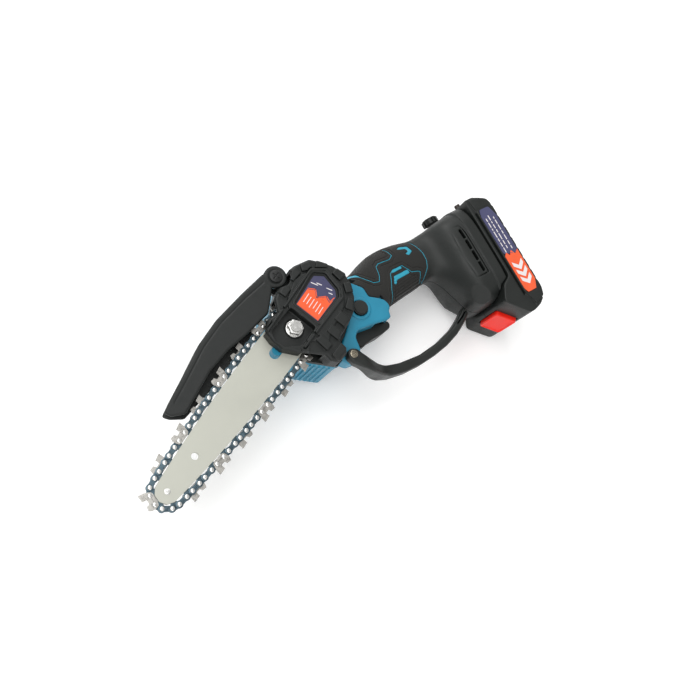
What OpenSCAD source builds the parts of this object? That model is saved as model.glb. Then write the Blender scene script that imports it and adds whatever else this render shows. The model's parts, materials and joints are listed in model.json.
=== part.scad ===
// Cordless pruning chainsaw with a 150 mm bar, lying on its side.
// Origin: sprocket axis on the bench. The bar points to -X, +Z is the cover side.

/* [Layout] */
// Distance from the sprocket axis to the bar stud
nut_x = 39.6; // [38:0.2:41]
// Height of the bar's middle plane over the bench
bar_z = 66; // [66:1:66]
// Height of the handle's middle plane over the bench
grip_z = 38; // [37:1:39]
// Angle by which the handle droops from the bar line
handle_angle = 24; // [20:1:28]

/* [Bar and chain] */
// Bar thickness
bar_t = 3.2; // [3:0.1:3.4]
// Distance from the bar stud to the nose sprocket axis
nose_x = 153.4; // [145:0.2:160]
// Half width of the rivet line at the widest point of the bar
rivet_half_w = 19.7; // [18:0.1:21]
// Length of chain for one drive link, two rivets
link_pitch = 12.7; // [12.7]
// Number of drive links in the chain
links = 37; // [37]
// Teeth on the drive sprocket
drive_teeth = 7; // [6:1:8]
// Teeth on the nose sprocket
nose_teeth = 6; // [5:1:7]

/* [Battery] */
// Battery width across the saw
battery_w = 76; // [70:1:76]
// Number of cells
cell_count = 5; // [4:1:5]

/* [Drive] */
// Teeth on the motor pinion
pinion_teeth = 9; // [9]
// Teeth on the output gear
gear_teeth = 28; // [28]
// Gear module
gear_module = 1; // [1]

/* [Hidden] */
$fn = 48;

eps = 0.01;
stud_r = 4;
stud_flange_r = 5;
case_black = [0.22, 0.24, 0.23];
teal = [0.16, 0.58, 0.70];
steel = [0.72, 0.72, 0.70];
dark_steel = [0.40, 0.47, 0.50];

// ---------- frames ----------
// Stud frame: origin on the bar stud, same axes as the part.
module at_stud() { translate([-nut_x, 0, 0]) children(); }
// Handle frame: X runs back along the handle, +Y is its top side.
module at_handle() { at_stud() rotate([0, 0, -handle_angle]) children(); }
// A flat slab from height z0 to height z1.
module slab(z0, z1) { translate([0, 0, z0]) linear_extrude(height = z1 - z0) children(); }
// A tube or disc round the local Z axis.
module disc(r, z0, z1, bore = 0) {
  translate([0, 0, z0]) difference() {
    cylinder(r = r, h = z1 - z0);
    if (bore > 0) translate([0, 0, -1]) cylinder(r = bore, h = z1 - z0 + 2);
  }
}

// ---------- chain path ----------
sprocket_r = drive_teeth * link_pitch / (2 * PI);
nose_r = nose_teeth * link_pitch / (2 * PI);
crown_x = -20;
tail_x = -5;
tail_r = 60;
nose_run = nose_x + crown_x;
side_r = (nose_run * nose_run + rivet_half_w * rivet_half_w - nose_r * nose_r)
       / (2 * (rivet_half_w - nose_r));
side_c = [crown_x, rivet_half_w - side_r];
tail_a = acos((tail_x - crown_x) / side_r);
tail_c = side_c + (side_r - tail_r) * [cos(tail_a), sin(tail_a)];
tail_to_sprocket = [nut_x, 0] - tail_c;
tail_d = norm(tail_to_sprocket);
line_a = atan2(tail_to_sprocket[1], tail_to_sprocket[0]) + acos((tail_r - sprocket_r) / tail_d);
line_len = sqrt(tail_d * tail_d - (tail_r - sprocket_r) * (tail_r - sprocket_r));
nose_a = atan2(-side_c[1], -nose_x - side_c[0]);
function arc_len(r, a) = r * a * PI / 180;
len1 = arc_len(sprocket_r, line_a);
len2 = len1 + line_len;
len3 = len2 + arc_len(tail_r, tail_a - line_a);
len4 = len3 + arc_len(side_r, nose_a - tail_a);
half_loop = len4 + arc_len(nose_r, 180 - nose_a);
function on_arc(c, r, a, inset) = c + (r - inset) * [cos(a), sin(a)];
function deg(s, r) = s / r * 180 / PI;
// A point of the upper half of the rivet line, in the stud frame, moved inwards by inset.
function upper(s, inset) =
  s < len1 ? on_arc([nut_x, 0], sprocket_r, deg(s, sprocket_r), inset)
  : s < len2 ? on_arc([nut_x, 0], sprocket_r, line_a, inset)
               + (s - len1) * [-sin(line_a), cos(line_a)]
  : s < len3 ? on_arc(tail_c, tail_r, line_a + deg(s - len2, tail_r), inset)
  : s < len4 ? on_arc(side_c, side_r, tail_a + deg(s - len3, side_r), inset)
  : on_arc([-nose_x, 0], nose_r, nose_a + deg(s - len4, nose_r), inset);
function mirrored(p) = [p[0], -p[1]];
// The whole loop: s runs over the top to the nose, then back underneath.
function loop_point(s, inset = 0) =
  let (t = s % (2 * half_loop), u = t < 0 ? t + 2 * half_loop : t)
  u <= half_loop ? upper(u, inset) : mirrored(upper(2 * half_loop - u, inset));
// Outline of a bar shape, inset from the rivet line, from the tail to the nose and back.
bar_tail_x = 10;
function side_points(inset, steps = 22) =
  [for (i = [0:steps]) upper(len2 + 4 + (half_loop - len2 - 4) * i / steps, inset)];
function bar_outline(inset) =
  let (top = side_points(inset), n = len(top))
  concat([[bar_tail_x, top[0][1] - 5], [bar_tail_x - 4, top[0][1] - 0.6]], top,
         [for (i = [1:n - 1]) mirrored(top[n - 1 - i])],
         [[bar_tail_x - 4, 0.6 - top[0][1]], [bar_tail_x, 5 - top[0][1]]]);

// ---------- chain ----------
strap_len = 7.05;
strap_half_h = 2.7;
rivet_r = 0.95;
drive_t = 1.3;
strap_t = 1.1;
chain_phase = 87;
scale_pitch = 2 * half_loop / links;
function strap_start(k) = chain_phase + k * scale_pitch;
function near_cutter(k) = k < 12 ? k % 4 == 3 : k % 4 == 0 && k > 12;
function far_cutter(k) = k < 12 ? k % 4 == 1 : k % 4 == 2;
// Puts children on the chord between two points of the loop: X along it, -Y towards the bar.
module on_chord(s0, s1) {
  p = loop_point(s0);
  q = loop_point(s1);
  d = p - q;
  at_stud() translate([q[0], q[1], bar_z]) rotate([0, 0, atan2(d[1], d[0])]) children();
}
function chord_len(s0, s1) = norm(loop_point(s1) - loop_point(s0));
// A plate with round ends and two rivet holes.
module plate2d(l, half_h) {
  difference() {
    union() {
      circle(r = half_h, $fn = 24);
      translate([l, 0]) circle(r = half_h, $fn = 24);
      translate([0, 0.7 - half_h]) square([l, 2 * half_h - 1.4]);
    }
    circle(r = rivet_r, $fn = 16);
    translate([l, 0]) circle(r = rivet_r, $fn = 16);
  }
}
strap_z = drive_t / 2 + 0.05;
module strap_at(k, side) {
  l = chord_len(strap_start(k), strap_start(k) + strap_len);
  on_chord(strap_start(k), strap_start(k) + strap_len)
    mirror([0, 0, side < 0 ? 1 : 0]) slab(strap_z, strap_z + strap_t) plate2d(l, strap_half_h);
}
// Cutter: body plate, raised side plate, top plate leaning out and a depth gauge in front.
module cutter_at(k, side) {
  l = chord_len(strap_start(k), strap_start(k) + strap_len);
  on_chord(strap_start(k), strap_start(k) + strap_len) mirror([0, 0, side < 0 ? 1 : 0]) {
    slab(strap_z, strap_z + strap_t) difference() {
      polygon([[-2.7, 0], [-1.9, -1.9], [0, -2.7], [l, -2.7], [l + 1.9, -1.9], [l + 2.7, 0],
               [l + 3.6, 2.6], [l + 3.9, 6.0], [l - 1.4, 5.4], [l - 1.6, 2.9], [2.2, 2.9],
               [1.5, 5.2], [-1.8, 5.6], [-2.9, 3.4]]);
      circle(r = rivet_r, $fn = 16);
      translate([l, 0]) circle(r = rivet_r, $fn = 16);
    }
    slab(0.1, strap_z + 1.9) polygon([[l - 1.4, 5.4], [l + 3.9, 6.0], [l + 3.9, 6.9], [l - 1.4, 6.2]]);
  }
}
module chain_tie_straps() {
  color(dark_steel) for (k = [0:links - 1]) {
    if (!near_cutter(k)) strap_at(k, 1);
    if (!far_cutter(k)) strap_at(k, -1);
  }
}
module chain_cutters() {
  color(steel) for (k = [0:links - 1]) {
    if (near_cutter(k)) cutter_at(k, 1);
    if (far_cutter(k)) cutter_at(k, -1);
  }
}
module chain_drive_links() {
  color(dark_steel) for (k = [0:links - 1]) {
    s0 = strap_start(k) + strap_len;
    s1 = strap_start(k + 1);
    l = chord_len(s0, s1);
    on_chord(s0, s1) slab(-drive_t / 2, drive_t / 2) difference() {
      union() {
        circle(r = 2.6, $fn = 24);
        translate([l, 0]) circle(r = 2.6, $fn = 24);
        polygon([[0, 2.2], [l, 2.2], [l, -2.5], [l * 0.62, -5], [l * 0.3, -5], [0, -2.5]]);
      }
      circle(r = rivet_r, $fn = 16);
      translate([l, 0]) circle(r = rivet_r, $fn = 16);
    }
  }
}
rivet_half_len = 2.1;
module chain_rivets() {
  color(steel) for (k = [0:links - 1]) for (s = [0, strap_len]) {
    p = loop_point(strap_start(k) + s);
    at_stud() translate([p[0], p[1], bar_z - rivet_half_len])
      cylinder(r = rivet_r, h = 2 * rivet_half_len, $fn = 16);
  }
}

// ---------- bar ----------
bar_z0 = bar_z - bar_t / 2;
bar_z1 = bar_z + bar_t / 2;
slot_half_w = 4.2;
slot_front_x = -24;
slot_back_x = 4;
groove_half = 0.75;
nose_rivet_r = 2.2;
hang_hole_x = -122.4;
hang_hole_r = 2.7;
module slot2d(half_w, x0, x1) {
  for (x = [x0, x1]) translate([x, 0]) circle(r = half_w);
  translate([x0, -half_w]) square([x1 - x0, 2 * half_w]);
}
module guide_bar() {
  color([0.80, 0.80, 0.75]) at_stud() difference() {
    slab(bar_z0, bar_z1) polygon(bar_outline(3.3));
    slab(bar_z - groove_half, bar_z + groove_half) difference() {
      polygon(bar_outline(3.3 - 2));
      polygon(bar_outline(5.7));
    }
    translate([-nose_x, 0, 0]) disc(nose_r - 3.7, bar_z - groove_half, bar_z + groove_half);
    slab(bar_z0 - 1, bar_z1 + 1) slot2d(slot_half_w, slot_front_x, slot_back_x);
    translate([hang_hole_x, 0, 0]) disc(hang_hole_r, bar_z0 - 1, bar_z1 + 1);
    translate([-nose_x, 0, 0]) disc(nose_rivet_r, bar_z0 - 1, bar_z1 + 1);
    translate([-14, 9.5, 0]) disc(1.6, bar_z0 - 1, bar_z1 + 1);
  }
}
// A flat toothed wheel with square-cut teeth.
module star2d(teeth, root_r, tip_r, half_width) {
  circle(r = root_r);
  for (i = [0:teeth - 1]) rotate(i * 360 / teeth)
    polygon([[0, -half_width], [tip_r - 0.6, -half_width * 0.8], [tip_r, -half_width * 0.4],
             [tip_r, half_width * 0.4], [tip_r - 0.6, half_width * 0.8], [0, half_width]]);
}
tang_reach = 5;
module nose_sprocket() {
  color(steel) at_stud() translate([-nose_x, 0, 0]) difference() {
    slab(bar_z - 0.55, bar_z + 0.55) star2d(nose_teeth, 5, nose_r - tang_reach - 0.45, 1.6);
    disc(nose_rivet_r + 0.05, bar_z - 2, bar_z + 2);
  }
}
module nose_rivet() {
  color(steel) at_stud() translate([-nose_x, 0, 0]) {
    disc(nose_rivet_r, bar_z0 - 0.3, bar_z1 + 0.3);
  }
}

// ---------- motor unit ----------
housing_z0 = 9;
housing_z1 = 57.8;
plate_z1 = 61.8;
motor_xy = (pinion_teeth + gear_teeth) * gear_module / 2 * [-cos(45), -sin(45)];
motor_r = 17.5;
motor_z0 = 12;
motor_z1 = 42;
shaft_r = 2.5;
out_shaft_r = 4;
housing_outline = [[-12, -13], [-9, -25], [3, -45], [11, -45], [17, -36], [34, -35], [47.5, -27.8],
                   [60, -15], [62, 0], [58, 16], [48, 27], [34, 31], [18, 29], [2, 22], [-10, 11]];
housing_inner = [[-8.5, -12], [-5.8, -24], [4.8, -41.5], [9.5, -41.5], [15.5, -32.6], [33, -31.8],
                 [46.2, -25.2], [57, -13.5], [58.8, 0], [55, 14.5], [46.4, 24.2], [34, 27.6],
                 [19, 25.8], [4, 19.2], [-6.6, 9.5]];
fin_count = 6;
fin_start = [-9.6, -23.5];
fin_step = [2.15, -3.45];
module at_motor() { translate([motor_xy[0], motor_xy[1], 0]) children(); }
module screw_post(p, r, z0, z1) { translate([p[0], p[1], 0]) disc(r, z0, z1); }
post_xy = [[6, -37], [53, -16], [50, 17], [6, 17]];
module motor_housing() {
  color(teal) difference() {
    union() {
      at_stud() difference() {
        slab(housing_z0, housing_z1) polygon(housing_outline);
        slab(motor_z0, housing_z1 + 1) polygon(housing_inner);
      }
      at_stud() for (p = post_xy) screw_post(p, 3.6, motor_z0 - eps, housing_z1);
      at_stud() for (i = [0:fin_count - 1])
        translate([fin_start[0] + i * fin_step[0], fin_start[1] + i * fin_step[1], 0])
          rotate([0, 0, -58]) translate([-0.8, -1.8, housing_z0 + 4]) cube([1.6, 4, 42]);
    }
    at_motor() disc(5, housing_z0 - 1, motor_z0 + 1);
    at_stud() for (p = post_xy) screw_post(p, 1.4, housing_z1 - 14, housing_z1 + 1);
    for (a = [0:45:315]) at_motor() rotate([0, 0, a]) translate([8, -1.5, housing_z0 - 1])
      cube([7, 3, 5]);
  }
}
module motor_bush() { color("goldenrod") at_motor() disc(5, housing_z0, motor_z0, shaft_r + 0.03); }
cap_outline = [[8, -20], [10, -42], [17, -36], [34, -35], [47.5, -27.8], [60, -15], [62, 0], [58, 16],
               [48, 27], [34, 31], [18, 29], [5, 20], [2, 0]];
cap_hollow_r = 19.5;
module motor_end_cap() {
  color(case_black) difference() {
    at_stud() slab(0, housing_z0) polygon(cap_outline);
    at_motor() disc(cap_hollow_r, 2.5, housing_z0 + 1);
    for (a = [-60:20:60]) at_motor() rotate([0, 0, a]) translate([8, -1.2, -1]) cube([9, 2.4, 5]);
  }
}
module cooling_fan() {
  color([0.15, 0.15, 0.16]) at_motor() difference() {
    union() {
      disc(5, 3.6, 8.2);
      disc(17, 3.6, 4.6);
      for (a = [0:30:330]) rotate([0, 0, a]) translate([4, -0.6, 4.5]) cube([13, 1.2, 3.5]);
    }
    disc(shaft_r, 3, 9);
  }
}
module motor_can() {
  color(steel) at_motor() difference() {
    disc(motor_r, motor_z0, motor_z1, 15.6);
    for (a = [0:90:270]) rotate([0, 0, a]) translate([10, -3, motor_z0 + 10]) cube([12, 6, 9]);
  }
}
module motor_stator() {
  color("saddlebrown") at_motor() difference() {
    disc(15.6, motor_z0 + 2, motor_z1 - 2, 11);
    for (a = [0:60:300]) rotate([0, 0, a + 30]) translate([10, -1.2, motor_z0])
      cube([3.6, 2.4, motor_z1]);
  }
}
module motor_rotor() { color("dimgray") at_motor() disc(10.5, motor_z0 + 3, motor_z1 - 3, shaft_r); }
module motor_shaft() { color(steel) at_motor() disc(shaft_r, 3, 56); }
module motor_mount_plate() {
  color(steel) difference() {
    union() {
      at_motor() disc(18.6, motor_z1, motor_z1 + 2.4);
      disc(11, motor_z1, 50.2);
      slab(motor_z1, motor_z1 + 2.4) translate([-6, -8]) square([16, 19]);
    }
    at_motor() disc(5.6, motor_z1 - 1, 60);
    disc(8, 45.2, 60);
    disc(4.6, motor_z1 - 1, 60);
    at_motor() rotate([0, 0, 45]) translate([-30, -30, motor_z1 + 2.4]) cube([60 - 17.4, 60, 20]);
  }
}
module gear2d(teeth, backlash) {
  pitch_r = teeth * gear_module / 2;
  root_r = pitch_r - 1.25 * gear_module;
  tip_r = pitch_r + 0.85 * gear_module;
  base = 360 / teeth;
  circle(r = root_r);
  for (i = [0:teeth - 1]) rotate(i * base)
    polygon([[root_r - 0.5, -base * PI / 180 * pitch_r * 0.36 + backlash],
             [pitch_r, -base * PI / 180 * pitch_r * 0.23 + backlash],
             [tip_r, -base * PI / 180 * pitch_r * 0.12 + backlash],
             [tip_r, base * PI / 180 * pitch_r * 0.12 - backlash],
             [pitch_r, base * PI / 180 * pitch_r * 0.23 - backlash],
             [root_r - 0.5, base * PI / 180 * pitch_r * 0.36 - backlash]]);
}
gear_backlash = 0.12;
gear_z0 = 51;
gear_z1 = 55.4;
module motor_pinion() {
  color(steel) at_motor() difference() {
    rotate([0, 0, 45 + 180 / pinion_teeth]) slab(46, 55.6) gear2d(pinion_teeth, gear_backlash);
    disc(shaft_r, 45, 57);
  }
}
module output_gear() {
  color(dark_steel) difference() {
    rotate([0, 0, 225]) slab(gear_z0, gear_z1) gear2d(gear_teeth, gear_backlash);
    disc(out_shaft_r, 50, 57);
  }
}
module output_shaft() {
  color(steel) difference() {
    disc(out_shaft_r, 45.4, 71.4);
    difference() {
      disc(out_shaft_r + 1, 69.6, 70.4);
      disc(3.2, 69, 71);
    }
  }
}
module bearing(z0, z1, r) {
  mid = (r + out_shaft_r) / 2;
  disc(r, z0, z1, mid + 1);
  disc(mid - 1, z0, z1, out_shaft_r + 0.03);
  disc(mid + 1.5, (z0 + z1) / 2 - 1, (z0 + z1) / 2 + 1, mid - 1.5);
}
module rear_bearing() { color(steel) bearing(45.2, 50.2, 8); }
module front_bearing() { color(steel) bearing(55.8, 61.8, 9.5); }
module sprocket_clip() { color("black") disc(5.6, 69.65, 70.35, 3.2 + 0.02); }
module drive_sprocket() {
  color(dark_steel) difference() {
    union() {
      slab(bar_z - 2.6, bar_z + 3) star2d(drive_teeth, 6, sprocket_r - tang_reach - 0.4, 1.8);
      for (z = [bar_z - 2.6, bar_z + 1.1]) disc(10.3, z, z + 1.5);
    }
    disc(out_shaft_r, bar_z - 5, bar_z + 5);
  }
}
module gear_case_plate() {
  color([0.66, 0.67, 0.68]) difference() {
    union() {
      at_stud() slab(housing_z1, plate_z1) polygon(housing_outline);
      disc(13, 56, plate_z1);
      at_stud() slab(plate_z1 - eps, bar_z0) translate([-9, -12.5]) square([26, 25]);
      at_stud() slab(housing_z1, plate_z1) {
        translate([24.5, 36]) circle(r = 8);
        translate([17, 20]) square([15, 16]);
      }
      at_stud() translate([24.5, 36, 0]) disc(6.5, plate_z1 - eps, 71.6);
    }
    disc(9.5, 50, plate_z1 + 1);
    at_motor() disc(7.2, 50, 57.4);
    at_stud() disc(stud_r, 50, 70);
    at_stud() translate([24.5, 36, 0]) disc(2.4, 55, 75);
    at_stud() for (p = post_xy) screw_post(p, 1.8, 50, 63);
    at_stud() translate([-14, 9.5, 0]) disc(2.6, 50, 70);
    at_stud() tension_rod(0.05);
  }
}
module bar_locator() {
  color(teal) at_stud() difference() {
    slab(plate_z1, bar_z1 - 0.5) slot2d(slot_half_w - 0.15, slot_front_x + 3.6, -16);
    slab(50, 80) translate([-14, 9.5]) circle(r = 2.6);
  }
}
module bar_stud() {
  color(steel) at_stud() {
    disc(stud_r, housing_z1 - 4, 79);
    disc(stud_flange_r, housing_z1 - 5.4, housing_z1);
  }
}
nut_z = 71.6;
module bar_nut() {
  color(steel) at_stud() difference() {
    union() {
      disc(6.9, nut_z, nut_z + 1.6);
      translate([0, 0, nut_z + 1.5]) cylinder(r = 6.35, h = 4.6, $fn = 6);
      disc(5.2, nut_z + 6, nut_z + 6.5);
    }
    disc(stud_r + 0.05, nut_z - 1, nut_z + 9);
  }
}
module tension_rod(grow = 0) {
  translate([-14, 9.5, plate_z1 - 1.8]) rotate([0, 90, 0]) cylinder(r = 1.5 + grow, h = 14);
}
module tension_screw() {
  color(steel) at_stud() {
    translate([-14, 9.5, 0]) disc(1.4, plate_z1 - 3, bar_z1 - 0.2);
    tension_rod();
  }
}

// ---------- sprocket cover ----------
cover_top = 80;
cover_base = 62.2;
cover_outline = [[-21, 7], [-21, -2], [-14, -15], [-8, -23], [-3, -31], [-4, -37], [0, -43],
                 [9, -43.5], [13, -40], [14, -33.5], [17, -32], [30, -31], [42, -28.5], [52, -22],
                 [59.6, -13], [63.2, -4.6], [61.6, 7], [57, 17.5], [53, 24.4], [40, 30.3], [28.5, 32.5],
                 [15, 28], [7.4, 26.2], [0, 17.6], [-11, 20.5], [-18.5, 16]];
cover_inner = [[10.6, 13.4], [-2, 14.4], [-30, 15.8], [-30, 26], [4, 27], [6.8, 24.9], [16, 26.4],
               [29, 29.4], [39, 28.4], [50.6, 22.4], [55.2, 16], [60.4, 6], [61.7, -4.8],
               [57.9, -12], [50.2, -20], [41, -26.2], [30, -28.6], [16, -29.4], [-30, -29.4],
               [-30, -15.8], [-2, -14.4], [10.6, -13.4]];
window = [[14, 12], [14, -12], [42, -12], [47, -8], [51, 8], [45, 15.5], [41, 15.5]];
module cover_step(x, y, w, l, h) {
  slab(cover_top - eps, cover_top + h) translate([x - w / 2, y]) square([w, l]);
}
module sprocket_cover() {
  color(case_black) at_stud() difference() {
    union() {
      slab(cover_base, cover_top - 2) polygon(cover_outline);
      slab(cover_top - 2 - eps, cover_top) translate([20, -1]) scale(0.955)
        translate([-20, 1]) polygon(cover_outline);
      for (y = [15.2, -16.6]) slab(cover_top - eps, cover_top + 1)
        translate([-16, y]) square([58, 1.4]);
      for (x = [6, 19.5, 33.5]) cover_step(x, -25, 6.6, 7.4, 1);
      for (x = [20, 33.5]) cover_step(x, 18.5, 6.6, 6.5, 1);
    }
    slab(cover_base - 1, 75.4) polygon(cover_inner);
    slab(cover_base - 1, bar_z1 + 0.05) polygon([[-60, 15.9], [30, 15.9], [30, -15.9], [-60, -15.9]]);
    slab(77.6, 90) polygon(window);
    slab(nut_z, 90) polygon([[-30, 12.5], [9, 12.5], [9, -12.5], [-30, -12.5]]);
    disc(stud_r + 0.4, 60, 90);
    slab(50, 90) translate([24.5, 36]) circle(r = 11);
  }
}
module cover_label() {
  color([0.95, 0.42, 0.22]) at_stud() slab(77.6, 78)
    polygon([[17, 9.6], [17, -9.6], [41, -9.6], [44.5, -6.6], [47.6, 6.6], [43.4, 11], [40, 11]]);
}

// ---------- upper chain guard ----------
guard_pivot = [24.5, 36];
guard_near_z = 72;
guard_t = 2;
guard_far_z = 58;
guard_plate = [[20, 45], [-4.5, 47.6], [-34.4, 49.5], [-57.7, 47.7], [-83.5, 42], [-102, 38.3],
               [-113, 35.6], [-112, 30], [-104, 23.3], [-68, 29], [-46, 28.4], [-27, 25],
               [-3.5, 23.4], [7, 28], [16, 33]];
guard_far_plate = [[-6, 47.7], [-34.4, 49.5], [-57.7, 47.7], [-83.5, 42], [-102, 38.3],
                   [-113, 35.6], [-111, 30], [-104, 22], [-70, 20], [-30, 20], [-16, 22], [-14, 30]];
guard_rim = [[12, 45.9], [-4.5, 47.6], [-34.4, 49.5], [-57.7, 47.7], [-83.5, 42], [-102, 38.3],
             [-113, 35.6], [-112.4, 33.6], [-101.6, 36.2], [-83, 39.8], [-57.3, 45.5],
             [-34.4, 47.3], [-5.5, 45.4], [8, 43.6]];
module chain_guard() {
  color(case_black) at_stud() difference() {
    union() {
      slab(guard_near_z, guard_near_z + guard_t) {
        polygon(guard_plate);
        translate(guard_pivot) circle(r = 9.2);
      }
      slab(guard_far_z + eps, guard_near_z + 1) difference() {
        polygon(guard_rim);
        translate([-4, 40]) square([30, 20]);
      }
      slab(66, guard_near_z + 1) polygon(guard_rim);
      slab(guard_far_z, guard_far_z + guard_t) polygon(guard_far_plate);
    }
    translate([guard_pivot[0], guard_pivot[1], 0]) disc(3.25, 50, 80);
  }
}
module guard_screw() {
  color([0.3, 0.3, 0.3]) at_stud() translate([guard_pivot[0], guard_pivot[1], 0]) difference() {
    union() {
      disc(3.2, 71.6, 74.3);
      disc(2.4, 58, 71.7);
      disc(5.2, 74.3, 76.4);
    }
    for (a = [0, 90]) rotate([0, 0, a]) translate([-2.4, -0.5, 75.2]) cube([4.8, 1, 3]);
  }
}
module guard_spring() {
  color(steel) at_stud() translate([guard_pivot[0], guard_pivot[1], 0]) disc(8, 68.2, 71.2, 6.7);
}

// ---------- handle ----------
// Ring of a loft: station x, centre height y, half height, half width across the saw.
ring_n = 28;
function spow(v, e) = sign(v) * pow(abs(v), e);
function ring(x, y, h, w, e = 0.75) = [for (i = [0:ring_n - 1])
  let (a = i * 360 / ring_n) [x, y + h * spow(cos(a), e), grip_z + w * spow(sin(a), e)]];
module loft(rows, e = 0.75, grow = 0) {
  m = len(rows);
  pts = [for (r = rows) each ring(r[0], r[1], r[2] + grow, r[3] + grow, e)];
  sides = [for (j = [0:m - 2]) for (i = [0:ring_n - 1])
    let (a = j * ring_n + i, b = j * ring_n + (i + 1) % ring_n)
    each [[a, b, b + ring_n], [a, b + ring_n, a + ring_n]]];
  caps = [[for (i = [ring_n - 1:-1:0]) i], [for (i = [0:ring_n - 1]) (m - 1) * ring_n + i]];
  polyhedron(points = pts, faces = [for (f = concat(sides, caps)) [for (k = [len(f) - 1:-1:0]) f[k]]]);
}
// Stations of the handle: x, centre y, half height, half width.
grip_rows = [[84, 5, 22, 23], [92, 7.5, 22.5, 21.5], [103, 10.3, 23.2, 20], [117, 12, 23, 19],
             [130, 12.2, 21.8, 18.5], [143, 11.8, 19.8, 18], [153, 11.2, 18, 18], [160, 11, 18, 18.5]];
core_rows = [[74, 1, 20, 23], [84, 3.5, 19, 20.5], [92, 7.5, 19.8, 18.8], [103, 10.3, 20.5, 17.4],
             [117, 12, 20.4, 16.4], [130, 12.2, 19.2, 15.9], [143, 11.8, 17.2, 15.4],
             [153, 11.2, 15.4, 15.4], [161, 11, 15.4, 15.4]];
core_t = 2.6;
frame_outline = [[62, 22], [72, 25], [84, 25], [86, 4], [84, -8], [89, -10], [90, -16], [86, -19],
                 [85, -24.5], [80, -25.2], [70, -23.5], [52, -21.8], [47, -26], [46, -36],
                 [43, -41], [38, -45], [31, -44], [27, -38], [36, -30], [50, -17], [60, 0]];
frame_near = 63;
frame_far = 13;
lock_xy = [62.8, -6.8];
lock_r = 6.2;
lock_spring_z0 = 47.2;
bow_screw_xy = [34.8, -38];
trigger_pin_xy = [55, -17];
trigger_slot = [[46, -40], [46, -24], [49.5, -11.5], [62, -11.5], [92, -12], [94, -40]];
module half(near) {
  translate([-50, -150, near ? grip_z : grip_z - 100]) cube([400, 300, 100]);
}
module body_core() {
  difference() {
    union() {
      intersection() {
        loft(core_rows);
        translate([79, -60, -50]) cube([120, 120, 200]);
      }
      slab(frame_far, frame_near) polygon(frame_outline);
    }
    difference() {
      loft(core_rows, grow = -core_t);
      translate([157, -60, -50]) cube([20, 120, 200]);
    }
    slab(frame_far + 3, frame_near - 3) polygon([[70, 10], [71, 20], [82, 20], [84, 6], [81, -10],
      [86, -14], [81, -30], [70, -30]]);
    for (x = [80, 156]) translate([x, 3, grip_z - 6]) cube([10, 6, 15]);
    at_housing_clearance();
    slab(grip_z - 11, grip_z + 11) polygon(trigger_slot);
    translate([lock_xy[0], lock_xy[1], 0]) {
      disc(lock_r + 0.4, 52.2, 80);
      disc(4.4, lock_spring_z0, 53);
    }
    translate([trigger_pin_xy[0], trigger_pin_xy[1], 0]) disc(1.5, 16.5, 59.5);
    translate([bow_screw_xy[0], bow_screw_xy[1], 0]) disc(2.15, 56, 70);
    bow_band(0.05);
    slab(0, 48) polygon([[20, -60], [20, -30], [34, -36], [48, -36], [52, -60]]);
  }
}
// Room for the round motor housing in the front of the handle.
module at_housing_clearance() {
  rotate([0, 0, handle_angle]) slab(-1, plate_z1 + 0.05) polygon(housing_outline);
}
module body_shell_near() {
  color(teal) at_handle() intersection() { body_core(); half(true); }
}
module body_shell_far() {
  color(teal) at_handle() intersection() { body_core(); half(false); }
}
module rubber(near) {
  color([0.27, 0.27, 0.26]) at_handle() intersection() {
    difference() {
      loft(grip_rows);
      loft(core_rows, grow = 0.02);
      slab(-10, 90) polygon(frame_outline);
      slab(grip_z - 11, grip_z + 11) polygon(trigger_slot);
      translate([160, -60, -10]) cube([10, 120, 100]);
    }
    half(near);
  }
}
module grip_rubber_near() { rubber(true); }
module grip_rubber_far() { rubber(false); }
// Foot: a box-like shell that spreads from the grip to the battery.
foot_rows = [[160.5, 11, 18, 18.5], [163, 6, 24, 22], [165.5, -3, 36, 29], [168, -8, 43, 32.5],
             [174, -9.5, 44.5, 34], [184, -9.5, 45, 35.5], [192, -9.5, 45, 36], [197, -9.5, 45, 36]];
rail_z = [14, 56];
rail_w = 6;
module foot(near) {
  color(case_black) at_handle() intersection() {
    difference() {
      loft(foot_rows, e = 0.45);
      loft([[150, 11, 15.4, 15.4], [166, 8, 17, 17], [171, -9, 38, 29], [184, -9.5, 42.2, 32.7],
            [198, -9.5, 42.2, 33.2]], e = 0.45);
      for (i = [0:3]) translate([176, -25.6 + i * 10.4, 60]) cube([2.2, 8.2, 30]);
      slab(-10, 90) polygon([[178, -59], [182, -56], [190, -44], [200, -39.4], [200, -90],
                             [178, -90]]);
      for (z = rail_z) slab(z - 1, z + rail_w + 1) polygon([[186, -90], [200, -90], [200, 25.5],
                                                            [186, 25.5]]);
    }
    half(near);
  }
}
module foot_shell_near() { foot(true); }
module foot_shell_far() { foot(false); }

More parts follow.
